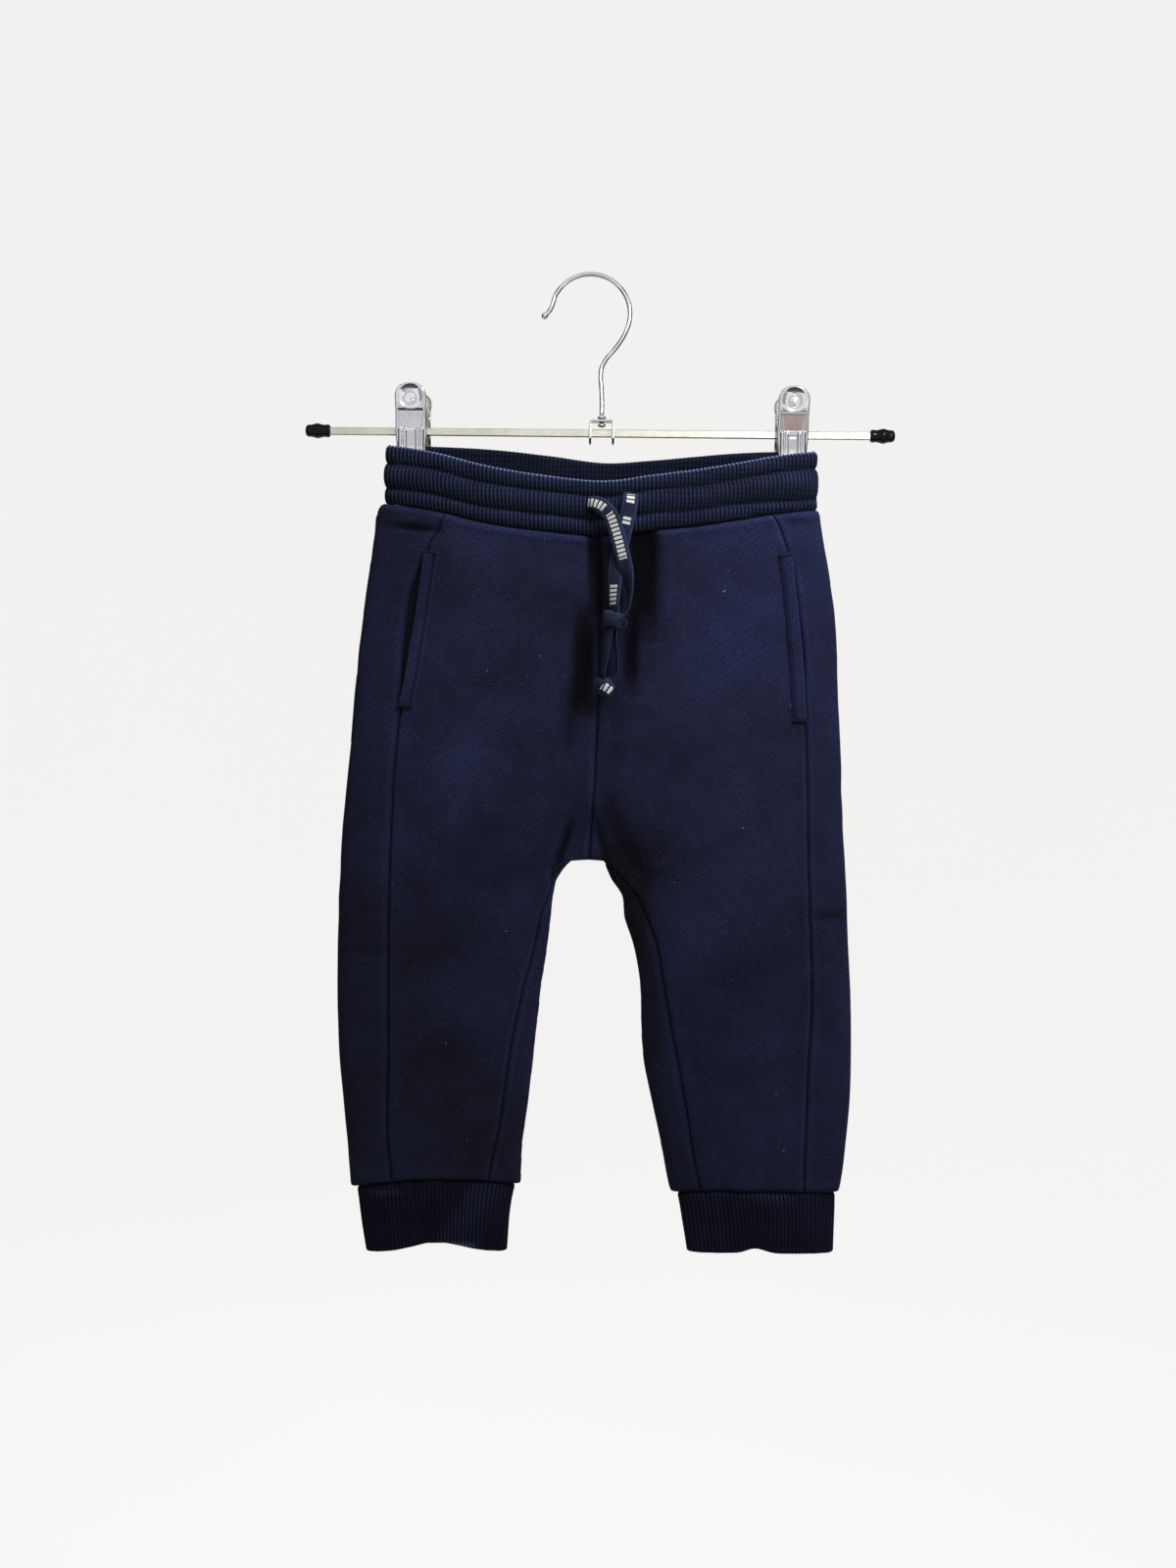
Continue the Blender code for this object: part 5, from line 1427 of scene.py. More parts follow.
@dataclass
class Cuff(RibbedRing):
    """An ankle cuff: rib knit, folded double at its lower edge, gathered a little into the leg's hem."""

    side: Side = Side.LEFT
    ribs: int = 82
    wall: float = 2.2
    relief: float = 0.62
    # share down the cuff, then x of its fold to the left and of its fold to the right
    folds: Both = Both(
        ((0.0, -128.4, -42.6), (0.08, -127.8, -43.4), (0.93, -123.6, -47.0), (1.0, -123.3, -47.1)),
        ((0.0, 44.9, 130.2), (0.08, 45.6, 130.2), (0.93, 50.0, 129.4), (1.0, 50.2, 129.4)),
    )
    heights: Both = Both(38.6, 33.6)
    lifts: Both = Both((-84.0, 4.6, 17.0), (87.0, 2.6, 7.0))  # of the front's lower edge: x, height, width
    wear_and_light: RubAndLight = RubAndLight(96, 410.5, 22, 3.0, 0.8)  # painted highlight under the right hem
    dull: RubAndLight = RubAndLight(84, 428, 12, 14, -0.30)

    @property
    def height(self) -> float:
        """How tall this cuff is."""
        return self.heights.on(self.side)

    def ends(self, share: float) -> list[float]:
        """x of the cuff's two folds at a share of its height."""
        return [float(Curve(self.folds.on(self.side), column).at(share)) for column in (1, 2)]

    def loop(self, share: float, grow: float, relief: float) -> Array:
        """One loop of the cuff's points: grow is how far it stands out, and relief the ribs' height."""
        index = self.index(self.oval(*self.ends(0.3), (0.0, 9.0, 9.0, 2.2, 2.2), 0.0))
        sway = 0.9 * Ripple(15, 30).at(index + 500, share * 30) + 0.5 * share
        shape = [float(v) for v in depth(410 + share * 30)]
        left, right = self.ends(share)
        flat, out = self.read(self.oval(left, right, shape, grow - 0.4), index + sway)
        hem = HEMS[self.side]
        dip = hem.dip(np.abs(flat[:, 0] - Both(left, right).on(self.side)) / (right - left))
        middle, high, width = self.lifts.on(self.side)
        lift = np.where(self.front(index), high * hill(flat[:, 0], middle, width), 0.0)
        top = hem.middle + 0.3 + dip
        bottom = hem.middle + self.height + 0.4 * dip - lift
        soft = 0.35 * Ripple(16, 17).at(index + 500, share * 26 + 40)
        soft += 0.3 * (1 - share) * Ripple(17, 8).at(index + 500, share * 9)
        push = relief * (self.crest() - 0.45) + soft * (relief > 0)
        return np.column_stack([flat + out * push[:, None], top + (bottom - top) * share])

    def faded(self, loop: Array) -> Array:
        """How light the crests are round a loop: painted light beside a soft slanting fold, and painted shade
        over the left cuff.
        """
        x, drop = loop[:, 0], loop[:, 2]
        line = -71.0 - 0.61 * (drop - 406) if self.side is Side.LEFT else 74.0 - 0.4 * (drop - 408)
        past = (line - x) * self.side.sign
        lit = 0.85 * ease(past / 7.0) * (1 - ease((past - 16) / 16))
        if self.side is Side.LEFT:
            return 0.30 + lit
        return 0.62 + 0.3 * lit + self.wear_and_light.at(x, drop) + self.dull.at(x, drop)

    def painted_highlights(self, loop: Array) -> Array:
        """How much a loop shows of the left cuff's two painted highlights: under its hem and on its lower
        edge.
        """
        x, drop = loop[:, 0], loop[:, 2]
        under = 0.8 * np.exp(-(((x + 113) / 12) ** 2) - ((drop - 410.4 + 0.08 * (x + 113)) / 1.7) ** 2)
        edge = 1.5 * np.exp(-(((x + 74) / 12) ** 4) - ((drop - 438.0) / 1.4) ** 2)
        return (under + edge) * (loop[:, 1] < 0) * (self.side is Side.LEFT)

    def build(self) -> Pieces:
        """Builds the ring."""
        crest = self.crest() ** 1.5
        # darker at the top, under the leg's hem: painted shade
        loops, crests = [self.loop(0.0, -1.6, 0.2)], [crest * 0.2]
        fold = self.wall / 2
        end = 1 - fold / self.height
        for share in np.concatenate([[0.006, 0.02, 0.04], np.linspace(0.07, end, 24)]):
            near = min(1.0, share / 0.06)
            grow = -1.3 * (1 - math.sqrt(near * (2 - near))) + 0.4 * math.sin(math.pi * share)
            loops.append(self.loop(share, grow, self.relief * (0.5 + 0.5 * near)))
            crests.append(crest * (0.5 + 0.5 * near) * self.faded(loops[-1]) + self.painted_highlights(loops[-1]))
        for angle in np.radians((25, 50, 75, 100, 130, 160)):
            grow = -fold + fold * math.cos(angle)
            loops.append(self.loop(end + (1 - end) * math.sin(angle), grow, self.relief * 0.8))
            # the fold's edge is lighter: painted highlight
            wear_and_light = crest * 0.9 + 0.3 * math.sin(angle)
            crests.append(wear_and_light * self.faded(loops[-1]) + self.painted_highlights(loops[-1]))
        # the inside is darker: painted shade
        for share in (end, 0.8, 0.5, 0.2, 0.05):
            loops.append(self.loop(share, -self.wall, self.relief * 0.5))
            crests.append(crest * 0.5)
        name = f"cuff_{self.side.value}"
        made = ring(f"{name}_rib", loops, self.finishes.cuff, {"crest": np.array(crests)})
        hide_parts(name)
        f"back_{self.side.value}"
        return [made]


@dataclass
class Lint:
    """Short loose fibres on the cloth, more of them on the front."""

    finishes: Finishes
    long: float = 1.3
    thick: float = 0.14
    count: int = 6
    # the one thick tuft's place, the way it runs and the way out
    tuft: tuple = ((66.1, -13.0, 86.2), (0.8, 0.0, -0.5), (0.0, -1.0, 0.0))

    def build(self, panels: Panels) -> Pieces:
        """Scatters fibres over one half's front and back."""
        draw = np.random.default_rng(Both(71, 72).on(panels.side))
        middles, ways, outs = [], [], []
        for part, share in (("front", 1.0), ("side", 0.3), ("back", 0.6)):
            skin = panels.skins[part]
            for _ in range(int(self.count * share)):
                row, column = draw.integers(4, skin.shape[0] - 5), draw.integers(4, skin.shape[1] - 5)
                across = skin[row, column + 1] - skin[row, column - 1]
                out = unit(np.cross(across, skin[row + 1, column] - skin[row - 1, column]))
                facing = out if out[1] * (-1 if part == "front" else 1) > 0 else -out
                middles.append(skin[row, column] + facing * 0.1)
                ways.append(np.cross(facing, draw.normal(size=3)))
                outs.append(facing)
        fibres = (np.array(middles), np.array(ways), np.array(outs))
        made = [stitches(f"lint_{panels.side.value}", *fibres, self.long, self.thick, self.finishes.lint)]
        if panels.side is Side.RIGHT:
            tuft = (np.array([v]) for v in self.tuft)
            made.append(stitches("lint_tuft", *tuft, 2.0, 0.36, self.finishes.lint))
        return made


# ---- drawstring ----
@dataclass
class Drawstring:
    """A flat woven drawstring: two tails from holes in the waistband, knotted together twice."""

    finishes: Finishes
    width: float = 7.2
    points: int = 170  # along a tail
    route_every: int = 5
    round_knot: int = 72
    fibres: int = 26  # in a frayed knot
    # x, y, drop, lean about its own run (0 shows its face to the front, 90 its edge), width there
    tails: Both = Both(
        (
            (-7.1, -13.6, 40.0, 0, 7.0), (-3.8, -16.0, 40.4, 0, 7.8), (0.2, -17.2, 42.2, 4, 8.2),
            (4.6, -17.6, 46.6, 8, 8.4), (7.8, -17.6, 54.6, 8, 8.4), (11.0, -17.8, 66.0, 8, 8.3),
            (13.6, -18.0, 76.0, 24, 8.0), (15.2, -18.2, 84.4, 58, 7.6), (15.2, -18.4, 92.0, 72, 7.0),
            (13.6, -18.2, 98.6, 74, 6.0), (9.6, -18.0, 103.0, 66, 5.2), (5.4, -17.8, 107.8, 40, 5.2),
            (4.0, -17.6, 113.0, 34, 5.2), (3.4, -17.6, 119.4, 48, 5.0), (2.6, -17.6, 126.4, 62, 4.8),
            (1.9, -17.5, 132.0, 62, 4.4), (2.6, -17.3, 137.4, 50, 4.2),
        ),
        (
            (16.0, -13.2, 34.4, -6, 8.4), (15.6, -14.9, 39.0, -4, 8.6), (14.3, -15.3, 46.4, 0, 8.6),
            (12.6, -15.4, 54.6, 0, 8.4), (10.2, -15.3, 64.6, 4, 8.4), (8.2, -15.4, 75.6, 12, 8.4),
            (7.3, -15.8, 85.6, 30, 8.2), (7.2, -16.6, 95.0, 44, 7.6), (7.8, -17.0, 101.0, 52, 6.8),
            (8.3, -17.2, 106.6, 62, 5.6), (8.4, -17.4, 112.6, 78, 5.2), (8.8, -17.4, 119.0, 80, 5.0),
            (9.2, -17.2, 125.4, 78, 4.8), (8.6, -17.0, 131.0, 66, 4.6), (6.0, -17.0, 136.2, 50, 4.4),
        ),
    )

    def tail(self, side: Side, finish: Material) -> Object:
        """One tail, from its hole through the first knot into the last.

        Args:
            side: which tail.
            finish: its material.

        Returns:
            The new piece.
        """
        rows = np.array(self.tails.on(side))
        chord = lengths(rows[:, :3])
        at = np.linspace(0, chord[-1], self.points)
        read = [Curve(tuple(zip(chord, rows[:, k]))).at(at) for k in range(5)]
        line = np.stack(read[:3], axis=1)
        run = unit(np.gradient(line, axis=0))
        lean = np.radians(read[3])[:, None]
        flat = unit(np.cross(run, (0.0, 1.0, 0.0)))
        wide = flat * np.cos(lean) + np.cross(flat, run) * np.sin(lean)
        thin = np.cross(wide, run)
        name = f"drawstring_{side.value}"
        made = strip(f"{name}_tape", line, wide, thin, read[4], finish, cup=0.05)
        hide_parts(name, name.replace("string_", "string_end_"))
        route = world(line[:: self.route_every])
        length = float(lengths(world(line))[-1])
        log.info("%s is %.1f mm long", made.name, length / MM)
        tuple(route[0])
        return made

    def wrap(self, name: str, middle: Place, half: Place, band: float, lean: float, tip: float,
             nod: float = 0.0, finish: Material | None = None) -> Object:
        """A turn of tape round a knot.

        Args:
            name: the piece's name.
            middle: the turn's centre.
            half: its half sizes across and deep.
            band: the tape's width in it.
            lean: degrees that it leans in the front's plane.
            tip: how much one side of it rides up.
            nod: degrees that it turns its hole towards the front.
            finish: its material, where it isn't the plain tape.

        Returns:
            The new piece.
        """
        turn = turns(self.round_knot)
        flat = np.stack([half[0] * np.cos(turn), half[1] * np.sin(turn), tip * np.sin(turn + 0.8)], axis=1)
        a, b = math.radians(lean), math.radians(nod)
        spin = np.array([[math.cos(a), 0, -math.sin(a)], [0, 1, 0], [math.sin(a), 0, math.cos(a)]])
        spin = spin @ np.array([[1, 0, 0], [0, math.cos(b), -math.sin(b)], [0, math.sin(b), math.cos(b)]])
        line = flat @ spin.T + middle
        run = unit(np.roll(line, -1, axis=0) - np.roll(line, 1, axis=0))
        thin = unit(np.cross(run, spin @ (0.0, 0.0, 1.0)))
        wide = np.cross(thin, run)
        widths = band * (1 + 0.10 * np.sin(2 * turn + 1.0) + 0.05 * np.sin(5 * turn))
        finish = finish or self.finishes.tape
        return strip(name, line, wide, thin, widths, finish, thick=1.2, cup=-0.10, closed=True)

    def fray(self, name: str, middle: Place, spread: Place, seed: int) -> Object:
        """Loose fibres that stand off a knot."""
        draw = np.random.default_rng(seed)
        outs = unit(draw.normal(size=(self.fibres, 3)) * (1.0, 0.5, 1.0) - (0.0, 0.5, 0.0))
        places = np.array(middle) + outs * spread
        ways = unit(np.cross(outs, draw.normal(size=(self.fibres, 3)))) + 0.7 * outs
        return stitches(name, places, ways, outs, 1.7, 0.16, self.finishes.fray)

    def build(self) -> Pieces:
        """Builds both knots and both tails."""
        knot, knotted = "drawstring_knot", self.finishes.tape_knot
        first = [
            self.wrap(f"{knot}_wrap", (6.6, -17.8, 102.9), (4.6, 2.7), 8.2, 5.0, 0.5),
            self.wrap(f"{knot}_cross", (8.4, -17.6, 102.4), (4.9, 2.2), 4.6, 24.0, 1.0),
            self.wrap(f"{knot}_loop", (12.0, -18.0, 104.9), (1.9, 2.1), 3.4, 20.0, 0.2, 76.0),
        ]
        end = "drawstring_end_knot"
        last = [
            self.wrap(f"{end}_wrap", (3.9, -17.6, 139.4), (3.1, 2.3), 8.6, 24.0, 0.6, finish=knotted),
            self.wrap(f"{end}_cross", (2.6, -17.3, 136.6), (3.4, 2.0), 4.2, -36.0, 0.8),
            self.wrap(f"{end}_loop", (-0.6, -17.5, 136.0), (1.6, 1.9), 3.0, -20.0, 0.2, 78.0),
        ]
        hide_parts(knot)
        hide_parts(end)
        first.append(self.fray(f"{knot}_fray", (7.6, -17.8, 103.2), (5.2, 3.2, 4.4), 81))
        last.append(self.fray(f"{end}_fray", (2.8, -17.6, 138.4), (4.2, 2.8, 4.4), 82))
        knots = first + last
        left = self.tail(Side.LEFT, self.finishes.tape_left)
        return [*knots, left, self.tail(Side.RIGHT, self.finishes.tape_right)]


# ---- hanger ----
def turned(name: str, rows: Array, centre: Place, along_x: bool, finish: Material, power: float = 2.0,
           count: int = 48) -> Object:
    """A solid turned about an axis.

    Args:
        name: the piece's name.
        rows: place along the axis, and two half sizes.
        centre: where the axis starts.
        along_x: whether it runs along x, and not down.
        finish: its material.
        power: 2 for a round section, and more for a squarer one.
        count: how many points round it.

    Returns:
        The new piece.
    """
    across, up = np.cos(turns(count)), np.sin(turns(count))
    size = (np.abs(across) ** power + np.abs(up) ** power) ** (-1 / power)
    loops = []
    for along, first, second in rows:
        places = (np.full(count, along), first * across * size, second * up * size)
        loops.append(np.stack(places if along_x else (places[1], places[2], places[0]), axis=1) + centre)
    return keep(name, mesh_of(name, np.concatenate(loops), tube(len(rows), count)), finish)


@dataclass
class WireHook:
    """The swivel hook: a round wire with a small ball on its tip, riveted through the stirrup."""

    finishes: Finishes
    wire: float = 2.5
    ball: float = 3.6
    radius: float = 21.4
    left_of_middle: float = 6.6
    arc: Span = (155.0, -25.0)  # degrees, from above the tip over the crown to the right side
    # x and drop
    tip: tuple = ((-32.6, -62.2), (-31.0, -63.8), (-28.3, -67.0), (-26.8, -71.0))
    neck: tuple = (
        (11.3, -52.6), (6.6, -45.6), (1.9, -40.0), (-0.4, -35.2), (-0.8, -31.0), (-0.3, -24.4), (0.0, -17.6),
        (0.0, -10.4),
    )
    sides: int = 24
    # below the stem's foot, and half size
    rivet: tuple = (
        (0.3, 1.2), (0.7, 1.35), (1.1, 1.75), (1.5, 2.2), (1.8, 2.35), (2.2, 2.35), (2.4, 2.2), (2.5, 1.3),
        (2.9, 1.15), (5.2, 1.15), (5.4, 1.7), (5.5, 2.05), (5.9, 2.2), (6.4, 2.1), (6.8, 1.7), (7.1, 1.0),
        (7.2, 0.3),
    )

    def stem(self) -> Object:
        """The bent wire."""
        crown = -BAR_BELOW_HOOK - self.wire / 2
        angle = np.radians(np.linspace(*self.arc, 15))
        across = -self.left_of_middle + self.radius * np.cos(angle)
        down = crown + self.radius * (1 - np.sin(angle))
        rows = np.vstack([self.tip, np.stack([across, down], axis=1), self.neck])
        chord = lengths(rows)
        at = np.concatenate([np.linspace(0, 4, 26), np.linspace(4.3, chord[-1], 300)])
        x, drop = (Curve(tuple(zip(chord, rows[:, k]))).at(at) for k in range(2))
        line = np.stack([x, 0 * x, drop], axis=1)
        run = unit(np.gradient(line, axis=0))
        half = self.ball / 2
        ball = np.sqrt(np.clip(half**2 - (at - 0.95 * half) ** 2, 0.0, None))
        size = np.maximum(ball, np.where(at > half, self.wire / 2, 0.05))
        turn = turns(self.sides)[:, None]
        flat = np.stack([-run[:, 2], 0 * x, run[:, 0]], axis=1)
        spread = flat[:, None] * np.cos(turn) + np.array((0.0, 1.0, 0.0)) * np.sin(turn)
        points = line[:, None] + spread * size[:, None, None]
        mesh = mesh_of("hook_wire", points.reshape(-1, 3), tube(len(at), self.sides))
        made = keep("hook_wire", mesh, self.finishes.chrome)
        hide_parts("hook")
        return made

    def build(self) -> Pieces:
        """Builds the wire and its rivet."""
        rows = np.array([(drop, half, half) for drop, half in self.rivet])
        foot = (0.0, 0.0, self.neck[-1][1])
        rivet = turned("hook_collar_and_rivet", rows, foot, False, self.finishes.chrome)
        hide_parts("hook_rivet")
        return [self.stem(), rivet]


@dataclass
class Stirrup:
    """The bent strip that hangs the bar: a pierced bridge with rounded corners, and two slotted legs."""

    finishes: Finishes
    half: float = 6.2
    top: float = -6.6
    foot: float = 5.8
    deep: float = 2.5
    thick: float = 1.2
    bend: float = 1.7
    eased: float = 0.22
    slot: Span = (2.35, 1.3)  # half its height and half its width

    def build(self) -> Pieces:
        """Builds the strip."""
        high, wide = self.slot
        drops = (self.foot, self.foot - 0.6, high + 0.4, high, 0.0, -high, -high - 0.5)
        leg = [(-self.half, drop) for drop in drops]
        turn = np.radians(np.linspace(180, 90, 9))
        left_of, under, bend = -self.half, self.top, self.bend
        corner = [(left_of + bend * (1 + math.cos(a)), under + bend * (1 - math.sin(a))) for a in turn]
        bridge = [(-wide, self.top)]
        left = np.array(leg + corner + bridge)
        path = np.vstack([left, left[::-1] * (-1, 1)])
        depths = (-self.deep, -wide, wide, self.deep)
        points = [(x, y, drop) for x, drop in path for y in depths]
        last = len(path) - 1
        faces = []
        for at in range(last):
            near = min(at, last - 1 - at)
            open_here = near in (3, 4) or at == len(left) - 1
            for k in range(3):
                if not (k == 1 and open_here):
                    faces.append([4 * at + k, 4 * at + k + 1, 4 * at + 5 + k, 4 * at + 4 + k])
        blank = link(bpy.data.objects.new("blank", mesh_of("stirrup_strip", np.array(points), faces)))
        wall = blank.modifiers.new("wall", "SOLIDIFY")
        wall.thickness, wall.offset = self.thick * MM, 0.0
        edge = blank.modifiers.new("edge", "BEVEL")
        edge.width, edge.segments = self.eased * MM, 3
        edge.limit_method, edge.angle_limit = "ANGLE", math.radians(40)
        mesh = bpy.data.meshes.new_from_object(blank.evaluated_get(bpy.context.evaluated_depsgraph_get()))
        bpy.data.objects.remove(blank)
        made = keep("stirrup_strip", mesh, self.finishes.strip)
        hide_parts("stirrup")
        return [made]


@dataclass
class EndCap:
    """A moulded cap on the bar's end: squarish, with a bead round its middle and an eased end."""

    finishes: Finishes
    side: Side
    length: float = 13.4
    bar_ends: Both = Both(-146.9, 145.5)
    squareness: float = 2.7
    # share along, height, depth
    rows: tuple = (
        (0.0, 5.6, 4.2), (0.02, 6.4, 4.8), (0.06, 6.7, 5.0), (0.26, 6.5, 5.0), (0.38, 7.2, 5.6),
        (0.48, 7.9, 6.1), (0.56, 7.9, 6.1), (0.68, 6.9, 5.4), (0.78, 6.5, 5.0), (0.88, 6.3, 4.7),
        (0.94, 5.4, 3.9), (0.98, 3.6, 2.6), (1.0, 1.6, 1.0),
    )

    def build(self) -> Pieces:
        """Builds the cap."""
        centre = (self.bar_ends.on(self.side), 0.0, 0.0)
        ends = np.linspace(0, 0.08, 8), np.linspace(0.87, 1.0, 14)
        share = np.concatenate([ends[0], np.linspace(0.11, 0.85, 30), ends[1]])
        tall, deep = Curve(self.rows, 1).at(share), Curve(self.rows, 2).at(share)
        rows = np.stack([self.side.sign * share * self.length, deep / 2, tall / 2], axis=1)
        name = f"end_cap_{self.side.value}"
        made = turned(f"{name}_moulding", rows, centre, True, self.finishes.gloss, self.squareness, count=72)
        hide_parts(name)
        return [made]


@dataclass
class Jaw:
    """A pressed jaw: a dished thumb plate, a crease, a sunk panel and fluted pads, its edges turned back."""

    finishes: Finishes
    node: str
    middle: float
    way: float  # -1 for a front jaw, 1 for a back one
    # drop, y, half width, how deep its edges are turned
    rows: tuple
    round_from: float  # the drop above which the thumb plate narrows to its round end
    sunk: float  # how deep its lower panel is pressed in
    rise: float = 1.0  # share of the pressed forms' full height
    thick: float = 0.9
    corner: float = 0.9
    squareness: float = 2.3  # of the round end
    crease: float = -10.3
    flutes: tuple = (-5.75, -3.4, 3.4, 5.75)
    columns: int = 61
    turned_back: int = 4  # points down each turned edge

    def relief(self, x: Array, drop: Array) -> Array:
        """How far the pressed forms stand out of the plate: the thumb's dish with its boss, and the rest."""
        below = drop - self.round_from
        off = np.sqrt((x / 6.6) ** 2 + (below / np.where(below < 0, 6.8, 6.0)) ** 2)
        dish = 0.07 * hill(off, 1.02, 0.10) - 1.35 * np.clip(1 - off**2, 0, 1)
        boss = np.exp(-(x**2 + (below - 0.9) ** 2) / 6.5)
        crease = -0.07 * hill(drop, self.crease, 0.22) * (np.abs(x) < 7.2)
        inset = np.interp(drop, (self.crease + 0.1, -0.4), (7.1, 5.4)) - np.abs(x)
        panel = -self.sunk * ease(inset / 0.5) * ease((drop - self.crease) / 0.35) * ease((0.2 - drop) / 0.8)
        flutes = np.zeros_like(x + drop)
        for place in self.flutes:
            off = np.hypot(x - place, np.clip(0.4 - drop, 0, None)) / 1.15
            flutes = np.maximum(flutes, 1.2 * np.clip(1 - off**2, 0, 1) ** 0.55)
        return self.rise * (dish + boss + crease + panel + flutes)

    def build(self) -> Object:
        """Builds the jaw."""
        top, foot = self.rows[0][0], self.rows[-1][0]
        reach, power = self.round_from - top, self.squareness
        turn = np.radians(np.linspace(2, 90, 24))
        plain = np.linspace(self.round_from, foot, 66)[1:]
        widest = float(Curve(self.rows, 2).at(self.round_from))
        shares = np.sin(np.radians(np.linspace(-90, 90, self.columns)))
        outer, inner = [], []
        for drop in np.concatenate([top + reach * (1 - np.cos(turn)), plain]):
            y, half, ear = (float(Curve(self.rows, k).at(drop)) for k in (1, 2, 3))
            above = max(0.0, (self.round_from - drop) / reach)
            if above > 0:
                half = widest * max(1 - above**power, 1e-4) ** (1 / power)
            x = shares * half
            rim = half - np.abs(x)
            if above > 0:
                rim = widest * (1 - ((np.abs(x) / widest) ** power + above**power) ** (1 / power))
            corner = self.corner * (1 - np.sqrt(1 - (1 - np.clip(rim / self.corner, 0, 1)) ** 2))
            skin = y + self.way * (self.relief(x, drop) * ease(rim / 0.8) - corner)
            deep = np.linspace(self.corner, max(ear, self.corner + 0.3), self.turned_back + 1)[1:]
            edge = y - self.way * deep
            ys = np.concatenate([edge[::-1], skin, edge])
            xs = np.concatenate([np.full(len(edge), x[0]), x, np.full(len(edge), x[-1])])
            inset = xs * max(0.15, 1 - self.thick / max(half, 0.1))
            walls = np.concatenate([edge[::-1], skin - self.way * self.thick, edge])
            end = drop + (0.5 if above > 0.8 else 0.0)  # the plate's own thickness at its round end
            outer.append(np.stack([self.middle + xs, ys, np.full(len(xs), drop)], axis=1))
            inner.append(np.stack([self.middle + inset, walls, np.full(len(xs), end)], axis=1))
        made = shell(f"{self.node}_pressing", np.array(outer), np.array(inner), self.finishes.chrome)
        made.data.materials.append(self.finishes.inside)
        count = (len(outer) - 1) * (len(outer[0]) - 1)
        for face in made.data.polygons[count : 2 * count]:
            face.material_index = 1
        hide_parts(self.node)
        return made


@dataclass
class Clip:
    """A sprung clip on the bar: two jaws whose turned edges meet above it."""

    finishes: Finishes
    side: Side
    middles: Both = Both(-102.6, 103.0)
    sunk: Both = Both(0.4, 0.8)
    askew: Both = Both(1.5, -0.6)  # how far the back jaw stands to the right of the front one
    front: tuple = (
        (-24.3, -11.3, 8.4, 1.3), (-21.6, -10.9, 8.4, 1.4), (-17.0, -10.2, 8.4, 2.0), (-13.0, -9.4, 8.3, 4.0),
        (-10.4, -8.72, 8.2, 7.8), (-9.4, -8.43, 8.2, 8.0), (-6.9, -7.7, 8.2, 7.1), (-4.4, -6.98, 8.3, 6.4),
        (-2.4, -6.4, 8.3, 4.8), (-0.8, -5.93, 8.4, 4.2), (2.4, -5.05, 8.4, 3.6), (7.2, -4.6, 7.9, 1.3),
        (16.6, -4.5, 7.7, 1.2),
    )
    back: tuple = (
        (-24.4, 13.4, 8.2, 1.2), (-22.6, 13.4, 8.2, 1.4), (-17.0, 11.8, 8.2, 3.0), (-10.4, 9.0, 8.2, 8.4),
        (-4.4, 6.7, 8.3, 6.7), (-2.4, 6.0, 8.3, 4.7), (2.4, 5.0, 8.4, 3.6), (7.2, 4.8, 8.4, 1.3),
        (16.6, 4.7, 8.4, 1.2),
    )

    def build(self) -> Pieces:
        """Builds both jaws."""
        name, middle = f"clip_{self.side.value}", self.middles.on(self.side)
        sunk, askew = self.sunk.on(self.side), self.askew.on(self.side)
        front = Jaw(self.finishes, f"{name}_front", middle, -1.0, self.front, -16.7, sunk)
        back = Jaw(self.finishes, f"{name}_back", middle + askew, 1.0, self.back, -16.2, 0.4, rise=0.6)
        return [front.build(), back.build()]


@dataclass
class Hanger:
    """The metal hanger: hook, stirrup, bar, caps and clips. The bar keeps its solid's shape."""

    finishes: Finishes

    def build(self) -> Pieces:
        """Builds and dresses the hanger's pieces."""
        bar = frame["nodes"]["bar"]
        for slot in bar.material_slots:
            slot.material = self.finishes.nickel
        made = [bar, *WireHook(self.finishes).build(), *Stirrup(self.finishes).build()]
        for side in Side:
            made += EndCap(self.finishes, side).build() + Clip(self.finishes, side).build()
        return made


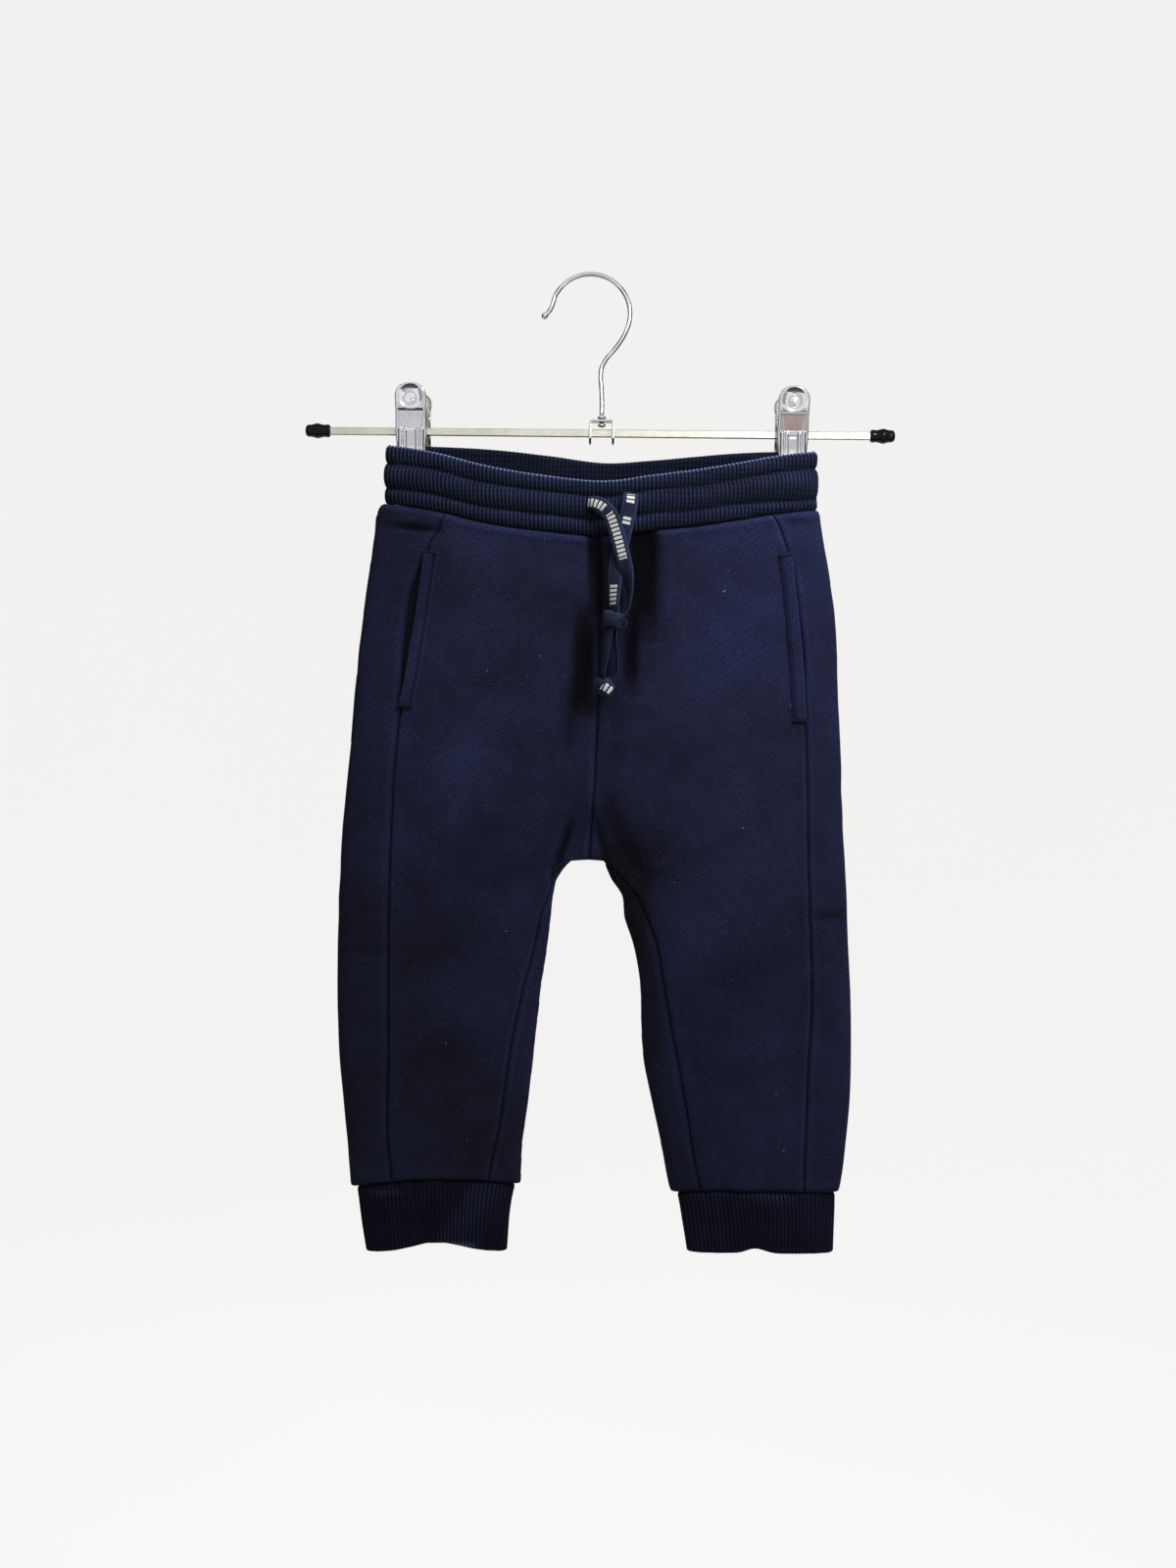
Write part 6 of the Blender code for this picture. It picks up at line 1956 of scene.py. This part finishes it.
# ---- studio ----
@dataclass
class Studio:
    """A pale sweep all round, soft lights and the camera."""

    radius: float = 2.3
    floor: float = -0.95
    rim: float = 1.7
    curve: float = 0.8
    around: int = 96
    lens: float = 36.21
    stand: tuple[float, float, float] = (0.0011, -0.854, -0.2748)
    rolled: float = 0.558  # the camera's lean, in degrees
    aim: tuple[float, float, float] = (0, 0, -0.28)  # of the lights
    # where each light stands, its size and its power
    lights: dict = field(default_factory=lambda: {
        "key": ((0.52, -0.50, 0.34), 0.30, 6.3),
        "top": ((0.16, -0.26, 0.50), 0.28, 6.0),
        "behind": ((-0.42, 0.70, 0.35), 0.40, 8.0),
        "behind_top": ((0.0, 0.34, 0.55), 0.30, 3.5),
    })
    # where each card stands, its width and height, its colour and its glow
    cards: dict = field(default_factory=lambda: {
        "left": ((-1.35, 0.45, -0.2), (2.6, 2.4), "#2c2c2f", 0.0),
        "right": ((1.35, 0.45, -0.2), (2.6, 2.4), "#2c2c2f", 0.0),
        "window": ((0.5, -1.45, 0.4), (0.28, 0.28), "#f0f0f0", 25.0),
        "ceiling": ((0.0, -0.2, 1.6), (2.4, 2.4), "#e0e0e0", 0.8),
        "door": ((0.26, -1.2, -0.56), (0.3, 0.2), "#7d6a66", 1.6),
        "front": ((0.0, -1.7, -0.3), (1.0, 0.9), "#8a8a8c", 2.16),
        "lamp": ((0.3, -1.5, -0.33), (0.15, 0.2), "#f4f4f2", 1.7),
        "room_left": ((-1.3, -1.12, -0.3), (0.75, 1.1), "#848a91", 1.0),
        "room_right": ((1.3, -1.12, -0.3), (0.75, 1.1), "#8d9399", 1.0),
        "floor_far": ((0.0, -1.69, -0.9), (2.4, 0.42), "#7c8388", 1.0),
        "floor_mid": ((0.0, -1.26, -0.9), (2.4, 0.44), "#454c53", 1.0),
        "floor_near": ((0.0, -0.82, -0.9), (2.4, 0.44), "#2b3138", 1.0),
    })

    def camera(self) -> Object:
        """The camera, level with the garment's middle."""
        data = bpy.data.cameras.new("camera")
        data.sensor_fit, data.sensor_height, data.lens = "VERTICAL", 36.0, self.lens
        data.clip_start = 0.01
        made = link(bpy.data.objects.new("camera", data))
        level = Matrix.Translation(self.stand) @ Matrix.Rotation(math.radians(90), 4, "X")
        made.matrix_world = level @ Matrix.Rotation(math.radians(self.rolled), 4, "Z")
        bpy.context.scene.camera = made
        return made

    def sweep(self) -> Object:
        """The floor, which curves up into a wall all round."""
        curve, start = self.curve, self.radius - self.curve
        profile = [(0.01, self.floor), (0.6, self.floor)]
        for a in np.linspace(0, np.pi / 2, 14):
            profile.append((start + curve * math.sin(a), self.floor + curve - curve * math.cos(a)))
        profile.append((self.radius, self.rim))
        points = [(r * math.cos(a), r * math.sin(a), z) for r, z in profile for a in turns(self.around)]
        mesh = bpy.data.meshes.new("sweep")
        faces = lattice(len(profile), self.around, closed=True)
        mesh.from_pydata(points, [], faces + [list(range(self.around))[::-1]])
        mesh.shade_smooth()
        mesh.materials.append(PaintedPaper(glow=0.87).make())
        made = link(bpy.data.objects.new("sweep", mesh))
        made.visible_diffuse = made.visible_shadow = False
        return made

    def light(self, name: str, place: Place, size: float, power: float) -> Object:
        """A soft square light that faces the garment's middle."""
        data = bpy.data.lights.new(name, "AREA")
        data.shape, data.size, data.energy = "SQUARE", size, power
        made = link(bpy.data.objects.new(name, data))
        made.location = place
        made.rotation_mode = "QUATERNION"
        made.rotation_quaternion = (Vector(self.aim) - Vector(place)).to_track_quat("-Z", "Y")
        made.visible_camera = made.visible_glossy = False
        return made

    def card(self, name: str, place: Place, size: Place, colour: str, glow: float) -> Object:
        """A card that only reflections see: dark ones edge the bright metal, bright ones light the gloss."""
        wide, tall = size[0] / 2, size[1] / 2
        mesh = bpy.data.meshes.new(f"card_{name}")
        corners = [(-wide, 0, -tall), (wide, 0, -tall), (wide, 0, tall), (-wide, 0, tall)]
        mesh.from_pydata(corners, [], [(0, 1, 2, 3)])
        mesh.materials.append(PaintedPaper(f"card_{name}_felt", colour, colour, glow, colour).make())
        made = link(bpy.data.objects.new(f"card_{name}", mesh))
        made.location = place
        lying = math.radians(90.0 if name.startswith(("floor", "ceiling")) else 0.0)
        made.rotation_euler = (lying, 0.0, math.atan2(place[0], -place[1]))
        for ray in ("camera", "diffuse", "shadow", "transmission", "volume_scatter"):
            setattr(made, f"visible_{ray}", False)
        return made

    def build(self) -> None:
        """Sets up the studio."""
        self.camera()
        self.sweep()
        for name, (place, size, power) in self.lights.items():
            self.light(name, place, size, power)
        for name, (place, size, colour, glow) in self.cards.items():
            self.card(name, place, size, colour, glow)
        room = bpy.data.worlds.new("dim_room")
        room.use_nodes = True
        feed(room.node_tree, room.node_tree.nodes["Background"], {"Color": "#e4e8f0", "Strength": 0.09})
        scene = bpy.context.scene
        scene.world = room
        scene.view_settings.view_transform = "Standard"


def report(pieces: Pieces) -> None:
    """Logs each piece."""
    for piece in pieces:
        log.info("%s: %d points", piece.name, len(piece.data.vertices) if piece.type == "MESH" else 0)


def main() -> None:
    """Builds the garment and its hanger in their studio, camera and cords first."""
    logging.basicConfig(level=logging.INFO, format="%(name)s: %(message)s")
    Studio().build()
    finishes = Finishes()
    report(Drawstring(finishes).build())
    report(Waistband(finishes).build())
    for side in Side:
        panels = Panels(side, finishes)
        report(panels.build())
        report(Pocket(panels, finishes).build())
        report(Lint(finishes).build(panels))
        report(Cuff(finishes, side=side).build())
    report(Hanger(finishes).build())


if __name__ == "__main__":
    main()
